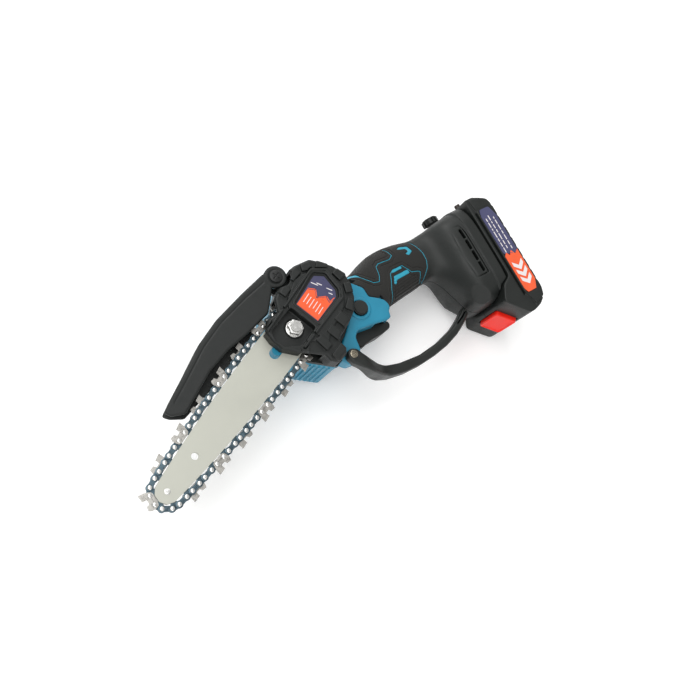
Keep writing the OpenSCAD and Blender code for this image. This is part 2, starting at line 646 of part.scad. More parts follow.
// ---------- hand guard bow ----------
bow_w = 14;
bow_outer = [[28, -41], [36, -46], [43, -54], [52, -60.5], [66, -66], [82, -69], [98, -69.6],
             [114, -68.6], [130, -66], [144, -62], [156, -56.5], [166, -50]];
bow_inner = [[166, -42], [152, -50.5], [142, -54.8], [124, -59.4], [101, -61.6], [80, -59.6],
             [66, -55.8], [58, -50], [52, -42.5], [48, -36]];
module bow_band(grow = 0) {
  slab(grip_z - bow_w / 2 - grow, grip_z + bow_w / 2 + grow) polygon(concat(bow_outer, bow_inner));
}
module hand_guard_bow() {
  color(case_black) at_handle() difference() {
    union() {
      bow_band();
      slab(31, 62.8) polygon([[31, -45.4], [36, -52], [44, -58.5], [52, -60.5], [57, -53],
                              [50, -45.4], [38, -45.4]]);
      slab(63.2, 69.6) polygon([[29, -33], [37, -31], [41, -38], [44, -44], [52, -49], [53, -56],
                              [46, -58], [36, -53], [29, -45]]);
      slab(60, 66) polygon([[36, -46.5], [50, -46.5], [53, -54], [46, -58], [36, -53]]);
    }
    translate([bow_screw_xy[0], bow_screw_xy[1], 0]) disc(2.1, 60, 80);
    at_housing_clearance();
    rotate([0, 0, handle_angle]) slab(-1, cover_top) scale(1.004) polygon(cover_outline);
  }
}
module bow_screw() {
  color(steel) at_handle() translate([bow_screw_xy[0], bow_screw_xy[1], 0]) difference() {
    union() {
      disc(2.1, 57, 69.7);
      disc(3.6, 69.6, 71.4);
    }
    for (a = [0, 90]) rotate([0, 0, a]) translate([-1.8, -0.4, 70.4]) cube([3.6, 0.8, 3]);
  }
}

// ---------- trigger and lock ----------
trigger_half_w = 10;
module trigger() {
  color(case_black) at_handle() difference() {
    slab(grip_z - trigger_half_w, grip_z + trigger_half_w)
      polygon([[51.6, -17], [53, -13.6], [57, -13.6], [60, -18], [76, -20.4], [88.6, -23.6],
               [88.8, -28], [86.6, -30.2], [78, -31.6], [66, -31.8], [57, -34], [53, -33.6],
               [51.6, -30]]);
    translate([trigger_pin_xy[0], trigger_pin_xy[1], 0]) disc(1.55, 0, 80);
  }
}
module trigger_pin() {
  color(steel) at_handle() translate([trigger_pin_xy[0], trigger_pin_xy[1], 0]) disc(1.5, 16.5, 59.5);
}
module trigger_spring() {
  color(steel) at_handle() translate([72, -19.3, grip_z]) rotate([-90, 0, 0])
    difference() { cylinder(r = 2.6, h = 6.1); translate([0, 0, -1]) cylinder(r = 2, h = 9); }
}
module switch_module() {
  color("black") at_handle() slab(grip_z - 8, grip_z + 8) polygon([[70.5, -13.2],
    [80.5, -13.2], [80.5, 4], [70.5, 4]]);
}
module lock_button() {
  color(case_black) at_handle() translate([lock_xy[0], lock_xy[1], 0]) {
    disc(lock_r, 55.5, 66);
    disc(lock_r - 0.8, 66, 66.8);
  }
}
module lock_spring() {
  color(steel) at_handle() translate([lock_xy[0], lock_xy[1], 0]) disc(3.6, lock_spring_z0, 55.2, 2.9);
}

// ---------- battery ----------
batt_profile = [[199.8, 35.8], [207, 35.8], [214, 34.2], [222, 30.4], [224, 24], [224, -62],
                [221, -70], [214, -75], [206, -77], [200, -77], [183, -60], [183, -57],
                [190.5, -45], [199.8, -40.2]];
// Frame on the sloping corner that carries the latch: +Y goes into the case.
module at_latch() { translate([191.5, -68.5, grip_z]) rotate([0, 0, -45]) children(); }
module battery_case() {
  color(case_black) at_handle() difference() {
    union() {
      slab(1.6, battery_w - 1.6) polygon(batt_profile);
      slab(0, battery_w) translate([212, -21, 0]) scale(0.97)
        translate([-212, 21, 0]) polygon(batt_profile);
      for (z = rail_z) slab(z, z + rail_w) translate([188, -50]) square([12, 74]);
    }
    slab(5, battery_w - 5) translate([202.4, -68]) square([19.4, 96]);
    at_latch() translate([-10.8, -4, -16]) cube([21.6, 10, 32]);
  }
}
cell_r = 9;
cell_step = 18.8;
module battery_cells() {
  color("seagreen") at_handle() for (i = [0:cell_count - 1])
    translate([212.6, -57.5 + i * cell_step, 0]) disc(cell_r, 5.5, 70.5);
}
module battery_board() {
  color("darkgreen") at_handle() slab(10, 66) translate([202.4, -66.9]) square([1.1, 94]);
}
module battery_label() {
  color([0.35, 0.35, 0.52]) at_handle() slab(battery_w, battery_w + 0.3) {
    for (y = [18.5, -56]) translate([214, y]) circle(r = 6.5);
    translate([207.5, -56]) square([13, 74.5]);
  }
}
module battery_latch() {
  color([0.92, 0.20, 0.13]) at_handle() at_latch() translate([-10.4, -3.4, -15.6])
    cube([20.8, 5, 31.2]);
}
module latch_spring() {
  color(steel) at_handle() at_latch() translate([0, 1.7, 0]) rotate([-90, 0, 0])
    cylinder(r = 3, h = 4.2);
}
module terminal_block() {
  color("black") at_handle() difference() {
    slab(24, 52) translate([174, 0]) square([12, 20]);
    for (z = [28, 34, 40, 46]) translate([178, -1, z]) cube([10, 14, 1.6]);
  }
}
module controller_board() {
  color("darkgreen") at_handle() slab(15, 61) translate([172, -42]) square([1.6, 60]);
}
module wire_set() {
  color("crimson") at_handle() for (z = [34, 39.4, 44.8])
    translate([83, 6, z]) rotate([0, 90, 0]) cylinder(r = 1.5, h = 88.8);
}
module shell_screws() {
  color(steel) at_stud() for (p = post_xy) translate([p[0], p[1], 0]) {
    disc(1.4, housing_z1 - 13, plate_z1);
    disc(2.8, plate_z1, plate_z1 + 0.4);
  }
}
module lanyard_knob() {
  color(case_black) at_handle() translate([183, 35.6, 38]) rotate([-90, 0, 0]) {
    cylinder(r = 4, h = 2);
    translate([0, 0, 1.5]) for (a = [0:30:330]) rotate([0, 0, a]) translate([3, -1, 0])
      cube([4.6, 2, 4.5]);
    translate([0, 0, 1.5]) cylinder(r = 6.2, h = 5.5);
  }
}
module battery_stop_pin() {
  color([0.35, 0.22, 0.15]) at_handle() translate([203.6, 35.8, 57]) rotate([-90, 0, 0])
    cylinder(r = 2.6, h = 3.4);
}

motor_housing();
motor_end_cap();
motor_mount_plate();
gear_case_plate();
motor_can();
motor_stator();
motor_rotor();
motor_shaft();
motor_bush();
cooling_fan();
motor_pinion();
output_gear();
output_shaft();
front_bearing();
rear_bearing();
drive_sprocket();
sprocket_clip();
guide_bar();
nose_sprocket();
nose_rivet();
bar_stud();
bar_nut();
bar_locator();
tension_screw();
chain_tie_straps();
chain_cutters();
chain_drive_links();
chain_rivets();
sprocket_cover();
cover_label();
chain_guard();
guard_screw();
guard_spring();
body_shell_near();
body_shell_far();
grip_rubber_near();
grip_rubber_far();
foot_shell_near();
foot_shell_far();
hand_guard_bow();
bow_screw();
trigger();
trigger_pin();
trigger_spring();
switch_module();
lock_button();
lock_spring();
controller_board();
wire_set();
battery_case();
battery_cells();
battery_board();
battery_label();
battery_latch();
latch_spring();
terminal_block();
shell_screws();
lanyard_knob();
battery_stop_pin();
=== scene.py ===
"""Looks of the cordless pruning chainsaw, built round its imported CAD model.

Every piece is in metres in the CAD frame. Lengths in the piece functions are in millimetres,
in one of two local frames: the stud frame (origin on the bar stud, +X to the battery side) and
the handle frame (the same origin, +X back along the handle, +Y to its top side).
"""
import json
import math

import bmesh
import bpy
import numpy as np
from mathutils import Matrix, Vector


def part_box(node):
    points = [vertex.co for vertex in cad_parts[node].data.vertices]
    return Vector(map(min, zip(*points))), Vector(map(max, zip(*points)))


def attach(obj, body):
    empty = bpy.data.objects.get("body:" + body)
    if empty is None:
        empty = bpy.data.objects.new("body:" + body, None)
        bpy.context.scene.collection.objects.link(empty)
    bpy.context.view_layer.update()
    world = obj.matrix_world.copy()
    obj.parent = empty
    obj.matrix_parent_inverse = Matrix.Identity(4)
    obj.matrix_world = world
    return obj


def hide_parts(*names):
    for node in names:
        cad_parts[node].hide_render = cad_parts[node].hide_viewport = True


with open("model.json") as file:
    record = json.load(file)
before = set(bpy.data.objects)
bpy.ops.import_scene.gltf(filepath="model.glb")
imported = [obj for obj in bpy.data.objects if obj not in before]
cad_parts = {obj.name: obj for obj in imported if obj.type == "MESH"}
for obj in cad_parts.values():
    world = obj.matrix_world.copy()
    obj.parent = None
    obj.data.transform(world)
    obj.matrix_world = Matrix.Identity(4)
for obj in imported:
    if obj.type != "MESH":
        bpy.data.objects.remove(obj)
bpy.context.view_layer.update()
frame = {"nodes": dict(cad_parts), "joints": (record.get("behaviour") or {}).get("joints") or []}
nodes = frame["nodes"]
MM = 0.001


def middle(node):
    low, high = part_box(node)
    return (low + high) / 2


def link(name, data):
    """A new object in the scene, holding the given camera, light or mesh."""
    obj = bpy.data.objects.new(name, data)
    bpy.context.scene.collection.objects.link(obj)
    return obj


# ---------------------------------------------------------------- local frames
stud = middle("bar_stud")
slide = next(j for j in frame["joints"] if j["name"] == "battery_slide")["axis"]
stud_frame = Matrix.Translation((stud.x, stud.y, 0))
handle_frame = stud_frame @ Matrix(
    ((-slide[1], -slide[0], 0, 0), (slide[0], -slide[1], 0, 0), (0, 0, 1, 0), (0, 0, 0, 1)))
grip_z = middle("trigger").z / MM


def handle_points(points):
    """Points of the stud frame, given in the handle frame."""
    c, s = -slide[1], -slide[0]
    return [(c * x - s * y, s * x + c * y) for x, y in points]


# ---------------------------------------------------------------- camera, light and floor
def make_camera():
    camera = bpy.data.cameras.new("camera")
    camera.lens = 41.1
    camera.sensor_width = 36
    camera.clip_start = 0.01
    position = (-0.2952, 0.0113, 0.6289)
    right, up, back = (0.528, -0.780, 0.335), (0.729, 0.619, 0.293), (-0.436, 0.089, 0.895)
    obj = link("camera", camera)
    obj.matrix_world = Matrix.Translation(position) @ Matrix((right, up, back)).transposed().to_4x4()
    bpy.context.scene.camera = obj


def set_inputs(node, values):
    for name, value in values.items():
        node.inputs[name].default_value = value


def area_light(name, at, aim, size, power):
    """A rectangular light at a point, aimed at another, both in metres."""
    light = bpy.data.lights.new(name, "AREA")
    light.shape = "RECTANGLE"
    light.size, light.size_y = size
    light.energy = power
    obj = link(name, light)
    obj.location = at
    obj.rotation_euler = (Vector(aim) - Vector(at)).to_track_quat("-Z", "Y").to_euler()


def make_stage():
    bpy.ops.mesh.primitive_plane_add(size=6, location=(0, 0, 0))
    floor = bpy.context.object
    floor.name = "floor"
    material = bpy.data.materials.new("floor")
    material.use_nodes = True
    shader = material.node_tree.nodes["Principled BSDF"]
    set_inputs(shader, {
        "Base Color": (0.985, 0.985, 0.985, 1), "Emission Color": (1, 1, 1, 1),
        "Emission Strength": 0.14, "Roughness": 0.55, "Specular IOR Level": 0.25})
    floor.data.materials.append(material)
    world = bpy.data.worlds.new("world")
    bpy.context.scene.world = world
    world.use_nodes = True
    set_inputs(world.node_tree.nodes["Background"], {
        "Color": (1.0, 0.995, 0.985, 1), "Strength": 0.64})
    area_light("soft_top", (-0.25, 0.35, 1.1), (0, 0, 0.04), (0.9, 0.7), 6.2)
    area_light("soft_back", (0.55, 0.75, 0.75), (0, 0, 0.03), (0.8, 0.5), 5.2)
    area_light("soft_front", (-0.7, -0.6, 0.6), (-0.05, 0, 0.04), (0.6, 0.5), 2.0)
    bpy.context.scene.view_settings.view_transform = "Standard"


# ---------------------------------------------------------------- materials
def noise(tree, coords, scale, detail, stretch=(1, 1, 1)):
    mapping = tree.nodes.new("ShaderNodeMapping")
    set_inputs(mapping, {"Scale": stretch})
    tree.links.new(coords, mapping.inputs["Vector"])
    texture = tree.nodes.new("ShaderNodeTexNoise")
    set_inputs(texture, {"Scale": scale, "Detail": detail})
    tree.links.new(mapping.outputs["Vector"], texture.inputs["Vector"])
    return texture.outputs["Fac"]


def remap(tree, value, low, high):
    """Spreads the middle of a noise, where most of it lies, from low to high."""
    node = tree.nodes.new("ShaderNodeMapRange")
    set_inputs(node, {"From Min": 0.3, "From Max": 0.7, "To Min": low, "To Max": high})
    tree.links.new(value, node.inputs["Value"])
    return node.outputs["Result"]


def surface(name, colour, rough, metal=0.0, spread=0.12, cloud=90, grain=2600, bump=0.06,
            grain_stretch=(1, 1, 1), rough_spread=0.10, specular=0.5, coat=0.0, sheen=0.0):
    """A procedural finish: clouded colour, uneven roughness and fine surface grain."""
    material = bpy.data.materials.new(name)
    material.use_nodes = True
    tree = material.node_tree
    shader = tree.nodes["Principled BSDF"]
    set_inputs(shader, {"Metallic": metal, "Specular IOR Level": specular, "Coat Weight": coat,
                        "Sheen Weight": sheen})
    coords = tree.nodes.new("ShaderNodeTexCoord").outputs["Object"]
    cloudy = noise(tree, coords, cloud, 4)
    fine = noise(tree, coords, grain, 2, grain_stretch)
    ramp = tree.nodes.new("ShaderNodeMix")
    ramp.data_type = "RGBA"
    set_inputs(ramp, {"A": tuple(c * (1 - spread) for c in colour) + (1,),
                      "B": tuple(min(1, c * (1 + spread)) for c in colour) + (1,)})
    tree.links.new(remap(tree, cloudy, 0, 1), ramp.inputs["Factor"])
    tree.links.new(ramp.outputs["Result"], shader.inputs["Base Color"])
    tree.links.new(remap(tree, cloudy, rough - rough_spread, rough + rough_spread),
                   shader.inputs["Roughness"])
    relief = tree.nodes.new("ShaderNodeBump")
    set_inputs(relief, {"Strength": bump, "Distance": 0.0004})
    tree.links.new(fine, relief.inputs["Height"])
    tree.links.new(relief.outputs["Normal"], shader.inputs["Normal"])
    return material


# Colours are linear. Left out of a finish, a value is the one that surface() gives.
FINISHES = {
    "case_black": dict(colour=(0.0082, 0.0104, 0.0094), rough=0.50, grain=2400, bump=0.30,
                       specular=0.42),
    "bow_black": dict(colour=(0.0098, 0.0122, 0.0108), rough=0.46, grain=1500, bump=0.35,
                      specular=0.42),
    "cover_black": dict(colour=(0.0060, 0.0078, 0.0072), rough=0.50, grain=2600, bump=0.32,
                        specular=0.42),
    "grip_rubber": dict(colour=(0.0130, 0.0128, 0.0115), rough=0.74, grain=1900, bump=0.40,
                        sheen=0.10, specular=0.30),
    "teal_plastic": dict(colour=(0.010, 0.205, 0.325), rough=0.42, spread=0.05, grain=2200,
                         bump=0.16, rough_spread=0.04),
    "teal_inlay": dict(colour=(0.020, 0.30, 0.42), rough=0.40, spread=0.05, bump=0.10),
    "bar_steel": dict(colour=(0.455, 0.460, 0.405), rough=0.52, metal=0.35, spread=0.03, cloud=40,
                      grain=900, grain_stretch=(1, 14, 1), bump=0.12, rough_spread=0.05),
    "bright_steel": dict(colour=(0.74, 0.74, 0.72), rough=0.26, metal=1.0, spread=0.06, cloud=500,
                         grain=3000, bump=0.10),
    "cutter_steel": dict(colour=(0.40, 0.39, 0.365), rough=0.33, metal=1.0, spread=0.12, cloud=420,
                         grain=3000, bump=0.12),
    "blue_steel": dict(colour=(0.085, 0.125, 0.150), rough=0.30, metal=1.0, spread=0.20, cloud=350,
                       grain=2600, bump=0.10),
    "black_steel": dict(colour=(0.012, 0.013, 0.013), rough=0.38, metal=0.2, bump=0.1),
    "screw_steel": dict(colour=(0.30, 0.27, 0.21), rough=0.30, metal=1.0, bump=0.1),
    "copper": dict(colour=(0.55, 0.22, 0.08), rough=0.35, metal=1.0, cloud=300, grain=1400,
                   grain_stretch=(1, 1, 6), bump=0.5),
    "spring_steel": dict(colour=(0.5, 0.5, 0.48), rough=0.3, metal=1.0, bump=0.1),
    "latch_red": dict(colour=(0.84, 0.016, 0.006), rough=0.42, spread=0.05, grain=2400, bump=0.12,
                      specular=0.3),
    "label_slate": dict(colour=(0.045, 0.045, 0.105), rough=0.32, spread=0.05, bump=0.03, coat=0.3),
    "label_violet": dict(colour=(0.050, 0.052, 0.125), rough=0.32, spread=0.05, bump=0.03,
                         coat=0.3),
    "label_orange": dict(colour=(0.80, 0.100, 0.024), rough=0.32, spread=0.05, bump=0.03, coat=0.3),
    "label_pale": dict(colour=(0.74, 0.70, 0.70), rough=0.38, spread=0.03, bump=0.02, coat=0.2),
    "board_green": dict(colour=(0.01, 0.14, 0.06), rough=0.4, bump=0.1),
    "wire_red": dict(colour=(0.5, 0.02, 0.02), rough=0.4, bump=0.05),
    "cell_green": dict(colour=(0.03, 0.30, 0.18), rough=0.35, bump=0.05),
    "pin_brown": dict(colour=(0.030, 0.020, 0.015), rough=0.5, bump=0.2),
}

# The finish of each CAD node that stays. The nodes that a modelled piece replaces aren't here.
CAD_FINISH = {
    "bar_steel": ["guide_bar"],
    "bright_steel": [
        "motor_mount_plate", "motor_can", "motor_shaft", "motor_pinion", "output_shaft",
        "front_bearing", "rear_bearing", "nose_sprocket", "nose_rivet", "bar_stud", "bar_nut",
        "tension_screw", "trigger_pin", "shell_screws"],
    "cutter_steel": ["chain_cutters"],
    "blue_steel": ["chain_tie_straps", "chain_drive_links", "drive_sprocket", "output_gear"],
    "black_steel": ["sprocket_clip"],
    "copper": ["motor_stator", "motor_bush"],
    "spring_steel": ["motor_rotor", "guard_spring", "trigger_spring", "lock_spring", "latch_spring"],
    "teal_plastic": ["bar_locator"],
    # The gear case plate takes the black case finish as painted shade: it stands for the shadow in the
    # chain tunnel.
    "case_black": [
        "motor_end_cap", "gear_case_plate", "cooling_fan", "switch_module", "lock_button",
        "terminal_block", "lanyard_knob"],
    "board_green": ["controller_board", "battery_board"],
    "wire_red": ["wire_set"],
    "cell_green": ["battery_cells"],
    "pin_brown": ["battery_stop_pin"],
}

# Rounded edges on the CAD nodes that stay in sight, in millimetres.
CAD_EDGES = {
    "guide_bar": 0.15, "bar_nut": 0.30, "bar_stud": 0.30, "chain_tie_straps": 0.18,
    "chain_cutters": 0.12, "chain_drive_links": 0.12, "nose_rivet": 0.2, "lock_button": 0.7,
    "lanyard_knob": 0.5, "bar_locator": 0.4, "gear_case_plate": 0.5, "battery_stop_pin": 0.4,
    "shell_screws": 0.2, "drive_sprocket": 0.2, "motor_end_cap": 0.8,
}


def finish_cad():
    for material, names in CAD_FINISH.items():
        for name in names:
            for slot in nodes[name].material_slots:
                slot.link = "OBJECT"
                slot.material = materials[material]
    for name, width in CAD_EDGES.items():
        obj = nodes[name]
        obj.modifiers.new("weld", "WELD").merge_threshold = 1e-6
        bevel = obj.modifiers.new("bevel", "BEVEL")
        bevel.width = width * MM
        bevel.segments = 2
        bevel.limit_method = "ANGLE"
        bevel.angle_limit = math.radians(35)
        bevel.harden_normals = False
        bevel.use_clamp_overlap = True
        obj.modifiers.new("normals", "WEIGHTED_NORMAL").keep_sharp = False
        for face in obj.data.polygons:
            face.use_smooth = True


# ---------------------------------------------------------------- solids from distance fields
SHARP = 0.1             # edge radius of holes and rooms
LOFT_SMOOTHING = 2.5    # how far a loft's rows are blended along X


class Grid:
    """A box of sample points in a local frame, in millimetres. Fields are negative inside. A plan
    field has one layer in Z, and it holds at every height."""

    def __init__(self, low, high, step):
        self.step = step
        self.low = np.array(low, np.float32)
        self.axes = [np.arange(a, b + step, step, dtype=np.float32) for a, b in zip(low, high)]
        self.x, self.y = (v[:, :, None] for v in np.meshgrid(*self.axes[:2], indexing="ij"))
        self.z = self.axes[2][None, None, :]

    def outline(self, points, rounding=0.0):
        """Distance to a closed outline in the XY plane, its corners rounded."""
        points = np.array(points, float)
        away = np.full(self.x.shape, 1e9)
        inside = np.zeros(self.x.shape, bool)
        for a, b in zip(points, np.roll(points, -1, 0)):
            away = np.minimum(away, self._segment(a, b))
            crosses = (a[1] > self.y) != (b[1] > self.y)
            run = b[1] - a[1] if b[1] != a[1] else 1
            inside ^= crosses & (self.x < a[0] + (self.y - a[1]) * (b[0] - a[0]) / run)
        return blur_plan(np.where(inside, -away, away).astype(np.float32), rounding / self.step)

    def line(self, points):
        """Distance to an open line through the points, in the XY plane."""
        points = np.array(points, float)
        away = np.full(self.x.shape, 1e9)
        for a, b in zip(points[:-1], points[1:]):
            away = np.minimum(away, self._segment(a, b))
        return away.astype(np.float32)

    def _segment(self, a, b):
        edge = b - a
        wx, wy = self.x - a[0], self.y - a[1]
        t = np.clip((wx * edge[0] + wy * edge[1]) / max(edge @ edge, 1e-9), 0, 1)
        return np.hypot(wx - edge[0] * t, wy - edge[1] * t)

    def disc(self, x, y, radius):
        return np.hypot(self.x - x, self.y - y) - radius

    def turned(self, x, y, degrees):
        """Signed distances along and across a direction, from the point x, y."""
        c, s = math.cos(math.radians(degrees)), math.sin(math.radians(degrees))
        dx, dy = self.x - x, self.y - y
        return dx * c + dy * s, dy * c - dx * s

    def slab(self, plan, z0, z1, radius):
        """The plan field from z0 to z1, with rounded edges."""
        return rounded_both(plan, np.abs(self.z - (z0 + z1) / 2) - (z1 - z0) / 2, radius)

    def room(self, points, z0, z1, rounding=0.0):
        """The space inside an outline, to cut away."""
        return self.slab(self.outline(points, rounding), z0, z1, SHARP)

    def hole(self, x, y, radius, z0, z1):
        return self.slab(self.disc(x, y, radius), z0, z1, SHARP)

    def loft(self, rows, power):
        """A tube along X through rows of station, centre Y, half height and half width."""
        rows = np.array(rows, float)
        smooth = [np.interp(self.axes[0], rows[:, 0], rows[:, i]) for i in (1, 2, 3)]
        smooth = [blur_row(v, LOFT_SMOOTHING / self.step) for v in smooth]
        centre, high, wide = (v[:, None, None].astype(np.float32) for v in smooth)
        a = np.abs(self.y - centre) / high
        b = np.abs(self.z - grip_z) / wide
        size = (a ** power + b ** power) ** (1 / power)
        return (size - 1) * np.minimum(high, wide)


def blur_row(values, cells):
    """Two box blurs of a row of values, which goes on straight past its ends."""
    n = int(round(cells))
    for _ in range(2):
        padded = np.pad(values, n, mode="reflect", reflect_type="odd")
        values = np.convolve(padded, np.ones(2 * n + 1) / (2 * n + 1), mode="valid")
    return values


def blur_plan(field, cells):
    """Two box blurs of a plan field, which round the corners of its outline."""
    n = int(round(cells))
    if n < 1:
        return field
    for axis in (0, 1, 0, 1):
        pad = [(0, 0)] * 3
        pad[axis] = (n + 1, n)
        total = np.cumsum(np.pad(field, pad, mode="edge"), axis=axis, dtype=np.float64)
        size = field.shape[axis]
        high = np.take(total, range(2 * n + 1, 2 * n + 1 + size), axis=axis)
        low = np.take(total, range(size), axis=axis)
        field = ((high - low) / (2 * n + 1)).astype(np.float32)
    return field


def join(*fields, k=0.0):
    """All the fields as one, blended over k millimetres where they meet."""
    result = fields[0]
    for field in fields[1:]:
        blend = np.maximum(k - np.abs(result - field), 0) / k if k else 0
        result = np.minimum(result, field) - blend * blend * k / 4
    return result


def cut(field, *tools, k=0.0):
    return -join(-field, *tools, k=k)


def both(*fields, k=0.0):
    return -join(*[-f for f in fields], k=k)


def rounded_both(a, b, radius):
    """What lies in both fields, with a rounded edge where they meet."""
    a, b = a + radius, b + radius
    return np.hypot(np.maximum(a, 0), np.maximum(b, 0)) + np.minimum(np.maximum(a, b), 0) - radius


def surface_net(field):
    """Points, in cells, and four-sided faces of a field's zero surface."""
    inside = field < 0
    cells = np.zeros(tuple(n - 1 for n in field.shape), np.int8)
    corners = [(i, j, k) for i in (0, 1) for j in (0, 1) for k in (0, 1)]
    for c in corners:
        cells += inside[tuple(slice(o, n + o) for o, n in zip(c, cells.shape))]
    where = np.nonzero((cells > 0) & (cells < 8))
    values = {c: field[tuple(w + o for w, o in zip(where, c))] for c in corners}
    total = np.zeros((len(where[0]), 3))
    count = np.zeros(len(where[0]))
    for a in corners:
        for axis in range(3):
            if a[axis]:
                continue
            b = tuple(v + (i == axis) for i, v in enumerate(a))
            crossing = (values[a] < 0) != (values[b] < 0)
            t = np.where(crossing, values[a] / np.where(crossing, values[a] - values[b], 1), 0)
            point = np.array(a, float)[None] + np.eye(3)[axis][None] * t[:, None]
            total += point * crossing[:, None]
            count += crossing
    number = np.full(cells.shape, -1, np.int64)
    number[where] = np.arange(len(total))
    faces = []
    for axis in range(3):
        u, v = (axis + 1) % 3, (axis + 2) % 3
        first = inside[tuple(slice(1, -1) if i != axis else slice(0, -1) for i in range(3))]
        second = inside[tuple(slice(1, -1) if i != axis else slice(1, None) for i in range(3))]
        at = np.array(np.nonzero(first != second))
        rising = first[tuple(at)]
        base = at + np.array([[0 if i == axis else 1] for i in range(3)])
        ring = []
        for du, dv in ((0, 0), (-1, 0), (-1, -1), (0, -1)):
            p = base.copy()
            p[u] += du
            p[v] += dv
            ring.append(number[tuple(p)])
        quad = np.array(ring).T
        quad[~rising] = quad[~rising][:, ::-1]
        faces.append(quad)
    return np.array(where).T + total / count[:, None], np.concatenate(faces)


def place(name, mesh, body, replaced):
    """Adds a piece that stands for the replaced nodes and moves with the body."""
    obj = link(name, mesh)
    if replaced:
        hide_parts(*replaced)
    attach(obj, body)


def solid(name, grid, field, transform, material, body, replaced):
    """Turns a field into a smooth mesh and puts it in the part's frame."""
    field = np.broadcast_to(field, tuple(len(a) for a in grid.axes))
    points, faces = surface_net(np.pad(field, 1, constant_values=5.0))
    points = ((points - 1) * grid.step + grid.low) * MM
    mesh = bpy.data.meshes.new(name)
    mesh.vertices.add(len(points))
    mesh.vertices.foreach_set("co", points.ravel())
    mesh.loops.add(len(faces) * 4)
    mesh.loops.foreach_set("vertex_index", faces.ravel())
    mesh.polygons.add(len(faces))
    mesh.polygons.foreach_set("loop_start", np.arange(0, len(faces) * 4, 4))
    mesh.polygons.foreach_set("loop_total", np.full(len(faces), 4))
    mesh.polygons.foreach_set("use_smooth", np.ones(len(faces), bool))
    mesh.update(calc_edges=True)
    mesh.validate()
    mesh.transform(transform)
    mesh.materials.append(materials[material])
    place(name, mesh, body, replaced)


# ---------------------------------------------------------------- sprocket cover
COVER = [(-21, 7), (-21, -2), (-14, -15), (-8, -23), (-3, -31), (-4, -37), (0, -43), (9, -43.5),
         (13, -40), (14, -33.5), (17, -32), (30, -31), (42, -28.5), (52, -22), (59.6, -13),
         (63.2, -4.6), (61.6, 7), (57, 17.5), (53, 24.4), (40, 30.3), (28.5, 32.5), (15, 28),
         (7.4, 26.2), (0, 17.6), (-11, 20.5), (-18.5, 16)]
COVER_ROOM = [(10.6, 13.4), (-2, 14.4), (-30, 15.8), (-30, 26), (4, 27), (6.8, 24.9), (16, 26.4),
              (29, 29.4), (39, 28.4), (50.6, 22.4), (55.2, 16), (60.4, 6), (61.7, -4.8),
              (57.9, -12), (50.2, -20), (41, -26.2), (30, -28.6), (16, -29.4), (-30, -29.4),
              (-30, -15.8), (-2, -14.4), (10.6, -13.4)]
COVER_WINDOW = [(14, 12), (14, -12), (42, -12), (47, -8), (51, 8), (45, 15.5), (41, 15.5)]
COVER_RIDGE = [(-17.5, 14.8), (40.6, 18.2), (45.4, 18.2), (53.6, 9.2), (49.4, -9.6), (43.4, -14.6),
               (-9.5, -14.6)]
# Raised blocks round the cover: centre, turn in degrees, half width and half length.
COVER_PADS = [
    (17, 25, 4, 4.2, 4.6), (33, 28, -2, 5, 5), (46, 24, -38, 4.4, 5), (54.5, 14, -68, 4.6, 4.4),
    (59, -1, -95, 4.2, 4.6), (55, -14, -128, 4.2, 4.6), (44, -24.5, -160, 4.6, 5.4),
    (29, -25.5, 180, 4.6, 6), (16, -26, 180, 3.8, 5.6), (3.6, -24, 176, 3.4, 6),
    (5.6, -38.5, 180, 6.4, 4.0), (-9, -15, 126, 3.0, 5.5), (-13, 17, 0, 4.2, 3)]
WINDOW_FLOOR = 77.6
GUARD_PIVOT = (24.5, 36)


def sprocket_cover():
    bottom, top, pad_top, ridge_top, above = 62.2, 78.2, 80.7, 80.9, 90
    g = Grid((-24, -46, 61), (65, 34, 82), 0.42)
    edge = g.outline(COVER, 0.5)
    body = both(g.slab(edge, bottom, top, 0.5), (edge + 1.3 + g.z - top) * 0.7, k=0.4)
    body = join(body, g.slab(edge + 9.0, 77, 79.4, 0.4), k=0.3)
    pads = 9.0
    for x, y, turn, wide, long in COVER_PADS:
        u, v = g.turned(x, y, turn)
        pads = np.minimum(pads, np.maximum(np.abs(u) - wide, np.abs(v) - long))
    pads = np.maximum(pads, edge + 0.5)
    pads = np.maximum(pads, 1.8 - g.outline(COVER_RIDGE, 0.6))
    pads = both(g.slab(pads, 74, pad_top, 0.35), (edge + 2.2 + g.z - pad_top) * 0.7, k=0.3)
    body = join(body, pads, k=0.2)
    ridge = np.abs(g.line(COVER_RIDGE)) - 0.95
    window = g.outline(COVER_WINDOW, 0.8)
    window_rim = np.abs(window - 0.9) - 0.9
    body = join(body, g.slab(ridge, 77, ridge_top, 0.5), g.slab(window_rim, 77, 80.2, 0.6), k=0.3)
    body = cut(body, g.slab(window, WINDOW_FLOOR, above, 0.3))
    nut_seat = g.outline([(9.6, 12.2), (9.6, -12.2), (-8.6, -12.6), (-18.8, -2.6), (-19.6, 5.4),
                          (-15.4, 12.2)], 0.8)
    body = cut(body, g.slab(nut_seat, 72.6, above, 0.5), k=0.4)
    bar_room = [(-60, 15.9), (30, 15.9), (30, -15.9), (-60, -15.9)]
    body = cut(body, g.slab(g.disc(0, 0, 8.0), 71.6, above, 0.3), g.hole(0, 0, 4.5, 50, above),
               g.hole(*GUARD_PIVOT, 11.2, 50, 95), g.room(COVER_ROOM, 50, 75.4),
               g.room(bar_room, 50, 67.7))
    for y in (15.4, -15.4):
        notch = np.maximum(np.abs(g.x - 4.5) - 1.0, np.abs(g.y - y) - 3.0)
        body = cut(body, g.slab(notch, top, above, SHARP))
    solid("cover_shell", g, body, stud_frame, "cover_black", "cover", ["sprocket_cover"])


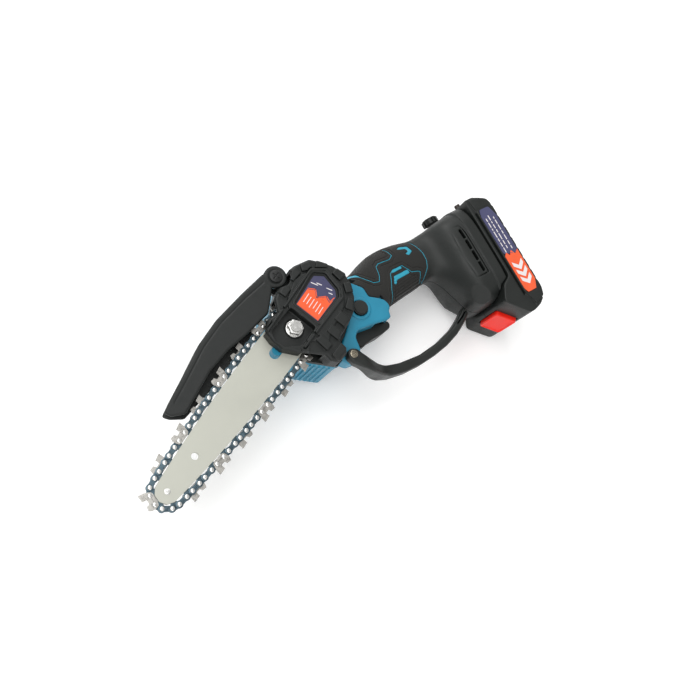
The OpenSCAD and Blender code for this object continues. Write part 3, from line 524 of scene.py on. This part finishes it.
# ---------------------------------------------------------------- printed labels
def printed(name, parts, transform, body, replaced):
    """Flat printed shapes, each a closed outline with its lower and upper height and finish."""
    mesh = bpy.data.meshes.new(name)
    verts, faces, finish, used = [], [], [], []
    for outline, z0, z1, material in parts:
        if material not in used:
            used.append(material)
        area = sum(a[0] * b[1] - b[0] * a[1] for a, b in zip(outline, outline[1:] + outline[:1]))
        ring = list(outline) if area > 0 else list(outline)[::-1]
        base, n = len(verts), len(ring)
        verts += [(x * MM, y * MM, z0 * MM) for x, y in ring]
        verts += [(x * MM, y * MM, z1 * MM) for x, y in ring]
        faces.append([base + n + i for i in range(n)])
        faces.append([base + n - 1 - i for i in range(n)])
        faces += [[base + i, base + (i + 1) % n, base + n + (i + 1) % n, base + n + i]
                  for i in range(n)]
        finish += [used.index(material)] * (n + 2)
    mesh.from_pydata(verts, [], faces)
    for material in used:
        mesh.materials.append(materials[material])
    mesh.polygons.foreach_set("material_index", finish)
    mesh.update()
    mesh.transform(transform)
    place(name, mesh, body, replaced)


def streak(x, y, length, width, turn):
    """A rectangle about x, y, turned by an angle in degrees."""
    c, s = math.cos(math.radians(turn)), math.sin(math.radians(turn))
    return [(x + c * u - s * v, y + s * u + c * v) for u, v in (
        (-length / 2, -width / 2), (length / 2, -width / 2), (length / 2, width / 2),
        (-length / 2, width / 2))]


def rounded(points, r, steps=5):
    """The outline with every corner turned into an arc of about radius r."""
    result = []
    for i, p in enumerate(points):
        a, b = Vector(points[i - 1]), Vector(points[(i + 1) % len(points)])
        p = Vector(p)
        reach = min(r, (a - p).length / 2.1, (b - p).length / 2.1)
        start, end = p + (a - p).normalized() * reach, p + (b - p).normalized() * reach
        for k in range(steps + 1):
            t = k / steps
            q = start * (1 - t) ** 2 + p * 2 * t * (1 - t) + end * t * t
            result.append((q.x, q.y))
    return result


def cover_label():
    z = WINDOW_FLOOR
    edge = [(31, 11), (34.4, 5.9), (30, 1.6), (30.2, 0.6), (35.6, -4.2), (33.6, -8.9), (38.6, -9.6)]
    back = [(14.6, 10.6), (14.8, -10.8), (41.2, -10.6), (45.6, -6.6), (49, 7), (43.8, 13.4),
            (40.6, 13.4)]
    orange = [(15.2, 10.2), (15.4, -10.4), (38, -10.2)] + edge[-2::-1]
    parts = [(rounded(back, 0.8), z, z + 0.35, "label_slate"),
             (orange, z + 0.34, z + 0.40, "label_orange")]
    for i, (a, b) in enumerate(zip(edge[:-1], edge[1:])):
        x, y = (a[0] + b[0]) / 2 + 1.0, (a[1] + b[1]) / 2
        length = math.hypot(b[0] - a[0], b[1] - a[1]) + 0.6
        turn = math.degrees(math.atan2(b[1] - a[1], b[0] - a[0]))
        parts.append((streak(x, y, length, 0.7, turn), z + 0.36, z + 0.42, "label_orange"))
    for i in range(6):
        parts.append((streak(24.5 - 0.4 * (i % 3), 7.6 - 3.0 * i, 8.5 - 1.3 * (i % 2), 0.55, 4),
                      z + 0.38, z + 0.44, "label_pale"))
    for x, y, length in ((38.5, 9.2, 6), (41, 6.2, 4.5), (43, -2.5, 5), (40.6, -5.4, 3.4)):
        parts.append((streak(x, y, length, 0.7, -72), z + 0.36, z + 0.42, "label_pale"))
    printed("cover_print", parts, stud_frame, "cover", ["cover_label"])


def battery_label():
    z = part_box("battery_label")[1].z / MM - 0.25
    violet = rounded([(207.2, 22.5), (205.2, 16), (205.2, -22), (220.8, -26), (220.8, 13),
                      (217.6, 22.5)], 2.0)
    orange = rounded([(205.2, -24.2), (208.2, -21.6), (210.6, -25.4), (213.6, -20.8), (216.4, -25.8),
                      (220.8, -22.6), (220.8, -53), (216.6, -61), (207.2, -61), (205.2, -57)], 0.6, 2)
    parts = [(violet, z, z + 0.30, "label_violet"), (orange, z + 0.05, z + 0.36, "label_orange")]
    parts += [(streak(212.5, -22.2 - 1.2 * i, 4.6, 0.45, 38 - 70 * i), z + 0.30, z + 0.38,
               "label_violet") for i in range(2)]
    for v, w, lengths in ((208.6, 13, (3, 5, 2, 6, 3, 4, 5)), (212.2, 15, (5, 2, 4, 3, 6, 4, 3)),
                          (216.6, 12, (2, 4, 5, 3, 5, 4, 3))):
        for length in lengths:
            parts.append((streak(v, w - length / 2, length, 0.9, 90), z + 0.28, z + 0.34,
                          "label_pale"))
            w -= length + 1.1
    for i in range(3):
        w = -31.5 - 7.2 * i
        parts.append(([(207.6, w), (213.2, w - 4.8), (218.8, w), (218.8, w - 4.2), (213.2, w - 9.2),
                       (207.6, w - 4.2)], z + 0.34, z + 0.42, "label_pale"))
    printed("battery_print", parts, handle_frame, "battery", ["battery_label"])


# ---------------------------------------------------------------- upper chain guard
GUARD = [(20, 45), (-4.5, 47.6), (-34.4, 49.5), (-57.7, 47.7), (-83.5, 42), (-102, 38.3),
         (-113, 35.6), (-112, 30), (-104, 23.3), (-68, 29), (-46, 28.4), (-27, 25), (-3.5, 22.6),
         (7, 28), (16, 33)]
GUARD_FAR = [(-6, 47.7), (-34.4, 49.5), (-57.7, 47.7), (-83.5, 42), (-102, 38.3), (-113, 35.6),
             (-111, 30), (-104, 22), (-70, 20), (-30, 20), (-16, 22), (-14, 30)]


def chain_guard():
    bottom, top, above = 58, 74.3, 90
    g = Grid((-115, 18, 56.5), (36, 52, 76.5), 0.45)
    plate = join(g.outline(GUARD, 0.8), g.disc(*GUARD_PIVOT, 9.2), k=2.0)
    rim = np.maximum(38.5 - g.y + 0.14 * np.maximum(-40 - g.x, 0), -(plate + 2.3))
    body = both(g.slab(plate, bottom, top, 1.5), join(72.0 - g.z, rim, k=0.4))
    body = np.maximum(body, np.where((g.x > -4) & (g.z < 66), 1.0, -9.0))
    body = join(body, g.slab(g.outline(GUARD_FAR, 0.8), bottom, 60, 0.6), k=0.4)
    for i in range(6):
        x = -92 + 15 * i
        web = g.outline([(x, 21), (x + 1.2, 21), (x + 7.2, 46), (x + 6, 46)])
        web = np.maximum(web, np.maximum(g.outline(GUARD_FAR) + 1, plate + 1))
        body = join(body, g.slab(np.maximum(web, 30 - g.y), 59, 73, 0.3))
    groove = np.abs(g.line([(14, 40.2), (-6, 43), (-34, 45), (-57, 43.4), (-83, 38), (-103, 34.2)]))
    body = cut(body, g.slab(groove - 0.35, 73.9, above, SHARP), k=0.3)
    body = cut(body, g.hole(*GUARD_PIVOT, 3.3, 50, above), g.hole(*GUARD_PIVOT, 6.0, 74.0, above))
    solid("guard_shell", g, body, stud_frame, "cover_black", "guard", ["chain_guard"])


# ---------------------------------------------------------------- handle
LOCK = (62.8, -6.8)
BOW_SCREW = (34.8, -38)
TRIGGER_SLOT = [(46, -40), (46, -24), (49.5, -11.5), (62, -11.5), (92, -12), (94, -40)]
HOUSING = [(-12, -13), (-9, -25), (3, -45), (11, -45), (17, -36), (34, -35), (47.5, -27.8),
           (60, -15), (62, 0), (58, 16), (48, 27), (34, 31), (18, 29), (2, 22), (-10, 11)]
FRAME = [(62, 22), (70, 21), (80, 8), (88, -4), (90, -10), (90, -16), (86, -19), (85, -24.5),
         (80, -25.2), (70, -23.5), (52, -21.8), (47.5, -26), (46, -36), (43, -41), (38, -44),
         (31, -43), (25, -36), (32, -27), (46, -14), (58, 0)]
# The rubber lies behind this line, which steps round the coloured frame.
RUBBER = [(60, 40), (62, 24), (66, 17.6), (75.6, 7.6), (76.2, -1), (83, -5.4), (87.2, -9),
          (88.6, -13), (88.6, -24), (170, -24), (170, 40)]
# Rows of a loft: station, centre Y, half height and half width.
GRIP_POWER = 2.67
GRIP_ROWS = [(60, 2, 20, 24.2), (74, 3.6, 20.6, 25.0), (84, 5, 22, 24.0), (92, 7.6, 22.8, 22.4),
             (103, 10.4, 23.4, 20.4), (117, 12, 23.2, 19), (130, 12.2, 22, 18.5),
             (143, 11.8, 20, 18), (153, 11.2, 18.2, 18), (162, 11, 18, 18.5)]
CORE_ROWS = [(74, 1, 20, 23), (84, 3.5, 19, 20.5), (92, 7.5, 19.8, 18.8), (103, 10.3, 20.5, 17.4),
             (117, 12, 20.4, 16.4), (130, 12.2, 19.2, 15.9), (143, 11.8, 17.2, 15.4),
             (153, 11.2, 15.4, 15.4), (161, 11, 15.4, 15.4)]
PANEL_LINE = [(66, 24), (76, 21.6), (82.2, 13), (87.6, 7.7), (93.4, 6.7), (96.5, 11), (98.8, 19.4),
              (102.6, 21.4), (114.8, 20.8), (119.1, 23.2), (118.4, 28.6), (116, 36)]
LOWER_LINE = [(133.4, -16), (134.8, -4.9), (136.6, 0.2), (134.4, 1.4), (128, 3.1), (125.7, 6.6),
              (122.3, 11.4), (111.6, 11.2), (107.9, 9.0), (101.8, -3.5), (100.3, -14.2), (100, -24)]
RING_LINE = [(139, 38), (143.2, 29), (145.4, 22.2), (147.6, 14), (147.4, 7), (145.1, 0.7),
             (139, -6.5), (134, -18)]
# The same line, closed round everything ahead of the coloured ring.
AHEAD_OF_RING = RING_LINE[::-1] + [(40, 80), (40, -80)]
WEDGE = [(62, 30), (62, 22.4), (74, 20.6), (78.6, 17.4), (80.6, 14.8), (79, 20.6), (73, 25.4)]
TOP_MARK = [(126.4, 26.4), (131.1, 27.7), (138, 25.3), (139.5, 19.1), (134.2, 16.8), (131.5, 19.6),
            (135.8, 20.6), (134.8, 23.6), (130.8, 24.6)]
STRIPE_A = [(110.2, 10.8), (120.8, 11.2), (121.6, 9.2), (109.4, 8.6)]
STRIPE_B = [(109.6, 6.0), (125, 6.6), (126.6, 2.9), (111.2, 1.9), (108.4, -1.6), (106.6, 0.2)]


def halves(name, g, field, material, replaced):
    """The near and far half of a shell, with a fine seam between them."""
    seam = 0.12
    for side, label in ((1, "near"), (-1, "far")):
        half = both(field, side * (grip_z - g.z) + seam)
        solid(f"{name}_{label}", g, half, handle_frame, material, "main_body",
              [f"{replaced}_{label}"])


def inlay_shape(g):
    """Where the coloured core shows through the rubber: fine lines and small solid marks."""
    lines = join(*[np.abs(g.line(points)) - 0.42 for points in (PANEL_LINE, LOWER_LINE, RING_LINE)])
    marks = join(*[g.outline(points, 0.5) for points in (WEDGE, TOP_MARK, STRIPE_A, STRIPE_B)])
    return np.minimum(lines, marks)


def grip():
    g = Grid((60, -26, 12), (162.5, 38, 64.5), 0.42)
    side = np.abs(g.z - grip_z)
    region = g.outline(RUBBER, 0.4)
    inlay = inlay_shape(g)
    lower = g.outline([(103.4, -2.6), (109.6, 8.6), (111, 1), (127, 1), (135, -2), (146, -7),
                       (146, -20), (102.4, -20)], 0.6)
    upper = g.outline([(80, 25), (84, 14.6), (88.6, 10), (91.6, 9.6), (95, 20), (100.4, 24.6),
                       (116, 24), (116.6, 27), (112, 40), (84, 40)], 0.6)
    ribs = 0.28 * np.cos((g.y - 0.12 * g.x) * 2 * np.pi / 2.0)
    dots = 0.26 * np.cos(g.x * 2 * np.pi / 1.9) * np.cos(g.y * 2 * np.pi / 1.9)
    texture = np.where(lower < 0, ribs * np.clip(-lower, 0, 1), 0)
    texture = texture + np.where(upper < 0, dots * np.clip(-upper, 0, 1), 0)
    skin = g.loft(GRIP_ROWS, GRIP_POWER) + texture * np.clip((side - 4.0) / 4.0, 0, 1)
    panel_edge = np.abs(np.minimum(g.line(PANEL_LINE), g.line(LOWER_LINE)) - 3.1) - 0.34
    groove = np.maximum(panel_edge - 0.05, -(skin + 0.5))
    hollow = np.where(g.x > 76, g.loft(CORE_ROWS, GRIP_POWER) - 0.15, 1.0)
    body = both(cut(skin, groove, hollow), region, k=1.4)
    channel = np.maximum(inlay, -(skin + 3.4))
    body = cut(body, channel, g.room(TRIGGER_SLOT, grip_z - 11.2, grip_z + 11.2),
               g.room(FRAME, 16, 60))
    halves("grip_rubber_skin", g, both(body, g.outline(AHEAD_OF_RING)), "grip_rubber",
           "grip_rubber")
    teal = both(skin + 0.30, -(skin + 3.2))
    teal = both(teal, inlay + 0.06, k=0.25)
    teal = both(teal, region + 0.3, 0.5 - side)
    solid("grip_inlay", g, teal, handle_frame, "teal_inlay", "main_body", [])


def teal_frame():
    wall = 2.6
    g = Grid((22, -47, 11.5), (162, 34, 66), 0.55)
    slab = both(g.slab(g.outline(FRAME, 1.0), 13, 63, 2.2), 0.25 - g.outline(RUBBER, 0.4), k=0.8)
    slab = join(slab, g.slab(g.disc(*LOCK, 9.4), 58, 64.5, 0.8), k=1.2)
    core = np.maximum(g.loft(CORE_ROWS, GRIP_POWER), 79 - g.x)
    core_inside = [(x, y, high - wall, wide - wall) for x, y, high, wide in CORE_ROWS]
    core = cut(core, np.maximum(g.loft(core_inside, GRIP_POWER), g.x - 157))
    switch_room = [(70, 10), (71, 20), (82, 20), (84, 6), (81, -10), (86, -14), (81, -30),
                   (70, -30)]
    under_bow = [(20, -60), (20, -30), (34, -36), (48, -36), (52, -60)]
    body = cut(join(slab, core), g.hole(*LOCK, 6.7, 52.2, 90), g.hole(*LOCK, 4.4, 47.2, 60),
               g.slab(g.outline(TRIGGER_SLOT, 0.8), grip_z - 11, grip_z + 11, 0.6),
               g.room(switch_room, 16, 60), g.room(under_bow, 0, 48),
               g.hole(*BOW_SCREW, 2.3, 56, 90), g.room(handle_points(HOUSING), -1, 61.9))
    halves("frame_shell", g, body, "teal_plastic", "body_shell")


# ---------------------------------------------------------------- foot and battery
RAIL_Z = (14, 56)
RAIL_HEIGHT = 6
FOOT_END = 197.4
# The black neck starts at the grip's ring and flares into the foot.
FOOT_POWER = 4.4
FOOT_ROWS = [(132, 12, 20.8, 18), (146, 11.7, 19.5, 17.7), (151, 11.2, 19.8, 18.1),
             (156, 9, 22.4, 19.2), (160, 4.6, 27.2, 21.4), (164, -1.5, 33.5, 26),
             (167, -6, 38.5, 30.5), (170, -8.3, 41.3, 33), (175, -9.3, 43.3, 34.6),
             (184, -9.5, 44.6, 35.4), (199, -9.5, 45, 36)]
FOOT_ROOM = [(150, 11, 15.6, 15.6), (161, 8, 18, 17), (166, -4, 30, 24), (171, -9, 37.3, 28.8),
             (184, -9.5, 42, 32.2), (200, -9.5, 42.2, 33)]


def foot():
    g = Grid((130, -58, 0), (199.5, 38, 76.2), 0.55)
    side = np.abs(g.z - grip_z)
    power = np.interp(g.axes[0], (148, 174), (2.8, 4.2))[:, None, None]
    body = both(g.loft(FOOT_ROWS, power), 0.2 - g.outline(AHEAD_OF_RING), g.x - FOOT_END)
    corner = (170 - g.x) * 0.70 + (-36 - g.y) * 0.50 + (side - 22) * 0.51 - 3.4
    band = both(g.loft(FOOT_ROWS, FOOT_POWER) - 0.8, 187.6 - g.x, g.x - FOOT_END, k=0.7)
    body = join(np.maximum(body, corner), band, k=0.3)
    strip = np.abs(g.outline([(173.6, 19.6), (183.2, 18.6), (184.6, 12), (184.6, -29), (173.2, -29),
                              (171.4, -8)], 0.6)) - 0.45
    body = cut(body, np.maximum(strip, 33.2 - side), k=0.35)
    for i in range(4):
        w = -26.6 + 10.9 * i
        vent = g.outline(rounded([(180, w), (182.6, w), (182.6, w + 9.2), (180, w + 9.2)], 0.7))
        body = cut(body, np.maximum(vent, 55.5 - g.z))
    inner = np.where(g.x > 158, g.loft(FOOT_ROOM, FOOT_POWER), 1.0)
    core = np.where(g.x < 161.2, g.loft(CORE_ROWS, GRIP_POWER) - 0.15, 1.0)
    battery_room = [(177, -61), (182, -56), (190, -44), (200, -39.4), (200, -90), (177, -90)]
    rail_room = [(186, -90), (201, -90), (201, 25.5), (186, 25.5)]
    body = cut(body, inner, core, g.room(battery_room, -10, 90, 0.5),
               *[g.room(rail_room, z - 1, z + RAIL_HEIGHT + 1) for z in RAIL_Z])
    halves("foot_case", g, body, "case_black", "foot_shell")


BATTERY = [(199.8, 35.8), (207, 35.8), (214, 34.2), (222, 30.4), (224, 24), (224, -62), (221, -70),
           (214, -75), (206, -77), (200, -77), (183, -60), (183, -57), (190.5, -45), (199.8, -40.2)]
LATCH = (191.5, -68.5)
LATCH_TURN = -45


def battery_case():
    top, above = 76, 90
    g = Grid((181.5, -78.5, -0.6), (225.5, 35.6, 76.8), 0.55)
    case = g.slab(g.outline(BATTERY, 1.4), 0, top, 2.6)
    low_side = g.outline([(170, 60), (203.2, 60), (203.2, 30), (204.6, 24), (204.6, -60),
                          (208.6, -70), (208.6, -90), (170, -90)], 0.5)
    body = cut(case, g.slab(low_side, top - 1.4, above, SHARP), k=0.6)
    gap = np.abs(g.line([(203.6, 21), (203.6, -61)])) - 0.7
    label = g.outline([(204.8, 24), (204.8, -58), (208, -62.4), (218, -62.4), (221.2, -55),
                       (221.2, 14), (218.4, 24)], 0.8)
    body = cut(body, np.maximum(gap, 72.4 - g.z), g.slab(label, top - 0.25, above, SHARP))
    corner = 0.7 * (223.2 - g.x) + 0.7 * (74.6 - g.z)
    for w in np.arange(-54, 26, 11.0):
        body = cut(body, np.maximum(np.abs(g.y - w) - 1.3, corner), k=0.3)
    end_line = np.abs(g.line([(226, -66), (219, -70.4), (208, -73.6), (200, -73.6)])) - 0.45
    split = np.abs(g.z - 37) - 0.35
    body = cut(body, np.maximum(end_line, -(case + 0.8)), np.maximum(split, -(case + 0.7)))
    along, into = g.turned(*LATCH, LATCH_TURN)
    pocket = np.maximum(np.maximum(np.abs(along) - 10.9, np.abs(into - 1) - 5.2),
                        np.abs(g.z - grip_z) - 16.1)
    cell_room = [(202.4, -67.4), (218.6, -67.4), (221.6, -62), (221.6, 24), (219.6, 27.6),
                 (202.4, 27.6)]
    body = cut(body, pocket, g.room(cell_room, 5, 71))
    rail = g.outline([(188, -50), (201, -50), (201, 24), (188, 24)])
    body = join(body, *[g.slab(rail, z, z + RAIL_HEIGHT, 0.4) for z in RAIL_Z])
    solid("battery_shell", g, body, handle_frame, "case_black", "battery", ["battery_case"])


def battery_latch():
    g = Grid((181, -80, 21), (204, -58, 55), 0.38)
    along, into = g.turned(*LATCH, LATCH_TURN)
    face = rounded_both(np.abs(along) - 10.4, np.abs(g.z - grip_z) - 15.6, 3.0)
    body = rounded_both(face, np.abs(into + 0.9) - 2.5, 0.9)
    body = cut(body, np.maximum(face + 2.0, into + 2.75), k=0.4)
    solid("latch_button", g, body, handle_frame, "latch_red", "latch", ["battery_latch"])


# ---------------------------------------------------------------- screws and rivets
def cross_screw(name, centre, transform, material, replaced, radius, top, low, shank):
    """A screw from low to top with a domed head and a cross-shaped socket."""
    x, y = centre
    g = Grid((x - radius - 0.5, y - radius - 0.5, low), (x + radius + 0.5, y + radius + 0.5, top + 0.4),
             0.16)
    away = np.hypot(g.x - x, g.y - y)
    head = g.slab(away - radius, top - 1.7, top - 0.35, 0.25)
    head = both(head, g.z - top + 0.35 + (away / radius) ** 2 * 0.5, k=0.2)
    dx, dy = np.abs(g.x - x), np.abs(g.y - y)
    socket = np.minimum(*[np.maximum(a - 0.55, b - 0.68 * radius) for a, b in ((dx, dy), (dy, dx))])
    body = cut(head, np.maximum(socket, top - 1.4 - g.z))
    body = join(body, g.slab(away - shank, low + 0.4, top - 1.2, SHARP))
    solid(name, g, body, transform, material, "main_body", [replaced])


def rivets():
    """A domed rivet at each of the chain's pins, found from the CAD node's own pieces."""
    reach, sides = 0.0031, 16
    source = nodes["chain_rivets"]
    points = np.array([source.matrix_world @ v.co for v in source.data.vertices])
    pins = {}
    for p in points:
        near = next((c for c in pins if math.hypot(c[0] - p[0], c[1] - p[1]) < reach), tuple(p[:2]))
        pins.setdefault(near, []).append(p)
    half = (points[:, 2].max() - points[:, 2].min()) / 2
    profile = [(0, half + 0.00045), (0.0009, half + 0.00036), (0.0015, half + 0.00012),
               (0.0018, half - 0.0003), (0.0018, half - 0.0006), (0.0012, half - 0.0007)]
    profile += [(r, -z) for r, z in profile[::-1]]
    verts, faces = [], []
    for pin in pins.values():
        x, y, z = (np.min(pin, 0) + np.max(pin, 0)) / 2
        base = len(verts)
        for r, up in profile:
            for i in range(sides):
                a = 2 * math.pi * i / sides
                verts.append((x + r * math.cos(a), y + r * math.sin(a), z + up))
        for low in range(base, base + (len(profile) - 1) * sides, sides):
            high = low + sides
            for i in range(sides):
                k = (i + 1) % sides
                faces.append((high + i, high + k, low + k, low + i))
    mesh = bpy.data.meshes.new("domed_rivets")
    mesh.from_pydata(verts, [], faces)
    mesh.materials.append(materials["bright_steel"])
    work = bmesh.new()
    work.from_mesh(mesh)
    bmesh.ops.remove_doubles(work, verts=work.verts, dist=1e-6)
    bmesh.ops.dissolve_degenerate(work, edges=work.edges, dist=1e-7)
    bmesh.ops.recalc_face_normals(work, faces=work.faces)
    work.to_mesh(mesh)
    work.free()
    for face in mesh.polygons:
        face.use_smooth = True
    place("domed_rivets", mesh, "main_body", ["chain_rivets"])


# ---------------------------------------------------------------- hand guard bow
BOW_OUTER = [(29, -40), (31.5, -44.5), (38, -51), (46, -57.6), (55, -62.4), (66, -66.2), (82, -69),
             (98, -69.6), (114, -68.6), (130, -66), (144, -62), (156, -56.5), (166, -50)]
BOW_INNER = [(166, -42), (152, -50.5), (142, -54.8), (124, -59.4), (101, -61.6), (80, -59.6),
             (66, -56), (57, -51.6), (50, -46), (44.6, -40.5), (40.4, -34.5), (34.8, -32.6), (30, -35)]
# The bow's lower and upper Z at stations along the handle.
BOW_DEPTH = [(26, 60.6, 69.4), (36, 59, 69.4), (41, 53, 68.6), (47, 43, 64.6), (54, 35.2, 57.5),
             (62, 31.8, 49.5), (70, 30.8, 46), (90, 31.2, 44.8), (150, 32.4, 43.6), (168, 33, 43)]


def hand_guard_bow():
    g = Grid((26, -71.5, 28), (168, -30, 71.2), 0.5)
    at, *levels = np.array(BOW_DEPTH).T
    low, high = (blur_row(np.interp(g.axes[0], at, v), 6)[:, None, None] for v in levels)
    plan = g.outline(BOW_OUTER + BOW_INNER, 0.9)
    body = rounded_both(plan, np.maximum(low - g.z, g.z - high), 2.6)
    body = join(body, g.slab(g.disc(*BOW_SCREW, 4.6), 66, 69.8, 0.5), k=0.8)
    slit = np.abs(g.line([(150, -53.6), (158, -50.4), (167, -45.2)])) - 0.7
    body = cut(body, np.maximum(slit, 38 - g.z), g.hole(*BOW_SCREW, 2.15, 50, 90),
               g.slab(g.outline(FRAME) - 0.2, 48, 63.1, SHARP),
               g.slab(g.outline(handle_points(HOUSING)) - 0.1, -1, 61.9, SHARP),
               g.slab(g.outline(handle_points(COVER)) - 0.5, -1, 80, SHARP))
    solid("bow_shell", g, body, handle_frame, "bow_black", "main_body", ["hand_guard_bow"])


# ---------------------------------------------------------------- trigger, motor housing
def trigger():
    g = Grid((50, -36, 27), (90.5, -12, 49), 0.38)
    plan = g.outline([(51.6, -17), (53, -13.8), (57, -13.8), (60, -18), (76, -20.6), (88.6, -24),
                      (88.8, -28), (86.6, -30.4), (78, -31.9), (68, -32.0), (60, -33.2), (57, -34.4),
                      (53, -33.6), (51.6, -30)], 0.6)
    body = g.slab(plan, grip_z - 10, grip_z + 10, 2.2)
    body = cut(body, g.hole(55, -17, 1.6, 0, 90))
    for z in (-5, 0, 5):
        groove = np.hypot(g.z - grip_z - z, g.y + 33.0) - 1.1
        body = cut(body, np.maximum(groove, np.abs(g.x - 72) - 9), k=0.4)
    solid("trigger_lever_shell", g, body, handle_frame, "case_black", "trigger_lever", ["trigger"])


def motor_housing():
    g = Grid((-14, -47, 8), (64, 33, 59), 0.55)
    body = g.slab(g.outline(HOUSING, 1.2), 9, 57.8, 1.2)
    for i in range(6):
        u, v = g.turned(-9.6 + 2.15 * i, -23.5 - 3.45 * i, -58)
        rib = np.maximum(np.abs(u) - 0.85, np.abs(v - 0.2) - 2.0)
        body = join(body, g.slab(rib, 13, 55, 0.6), k=0.5)
    room = [(-8.5, -12), (-5.8, -24), (4.8, -41.5), (9.5, -41.5), (15.5, -32.6), (33, -31.8),
            (46.2, -25.2), (57, -13.5), (58.8, 0), (55, 14.5), (46.4, 24.2), (34, 27.6), (19, 25.8),
            (4, 19.2), (-6.6, 9.5)]
    body = cut(body, g.room(room, 12, 70))
    solid("motor_housing_shell", g, body, stud_frame, "teal_plastic", "main_body",
          ["motor_housing"])


# ---------------------------------------------------------------- the scene
make_camera()
make_stage()
materials = {name: surface(name, **look) for name, look in FINISHES.items()}
finish_cad()
sprocket_cover()
cover_label()
battery_label()
chain_guard()
grip()
teal_frame()
foot()
battery_case()
battery_latch()
hand_guard_bow()
trigger()
motor_housing()
cross_screw("bow_screw_head", BOW_SCREW, handle_frame, "screw_steel", "bow_screw",
            radius=3.2, top=71.2, low=57, shank=2)
cross_screw("guard_screw_head", GUARD_PIVOT, stud_frame, "black_steel", "guard_screw",
            radius=5, top=76.2, low=58, shank=2.3)
rivets()
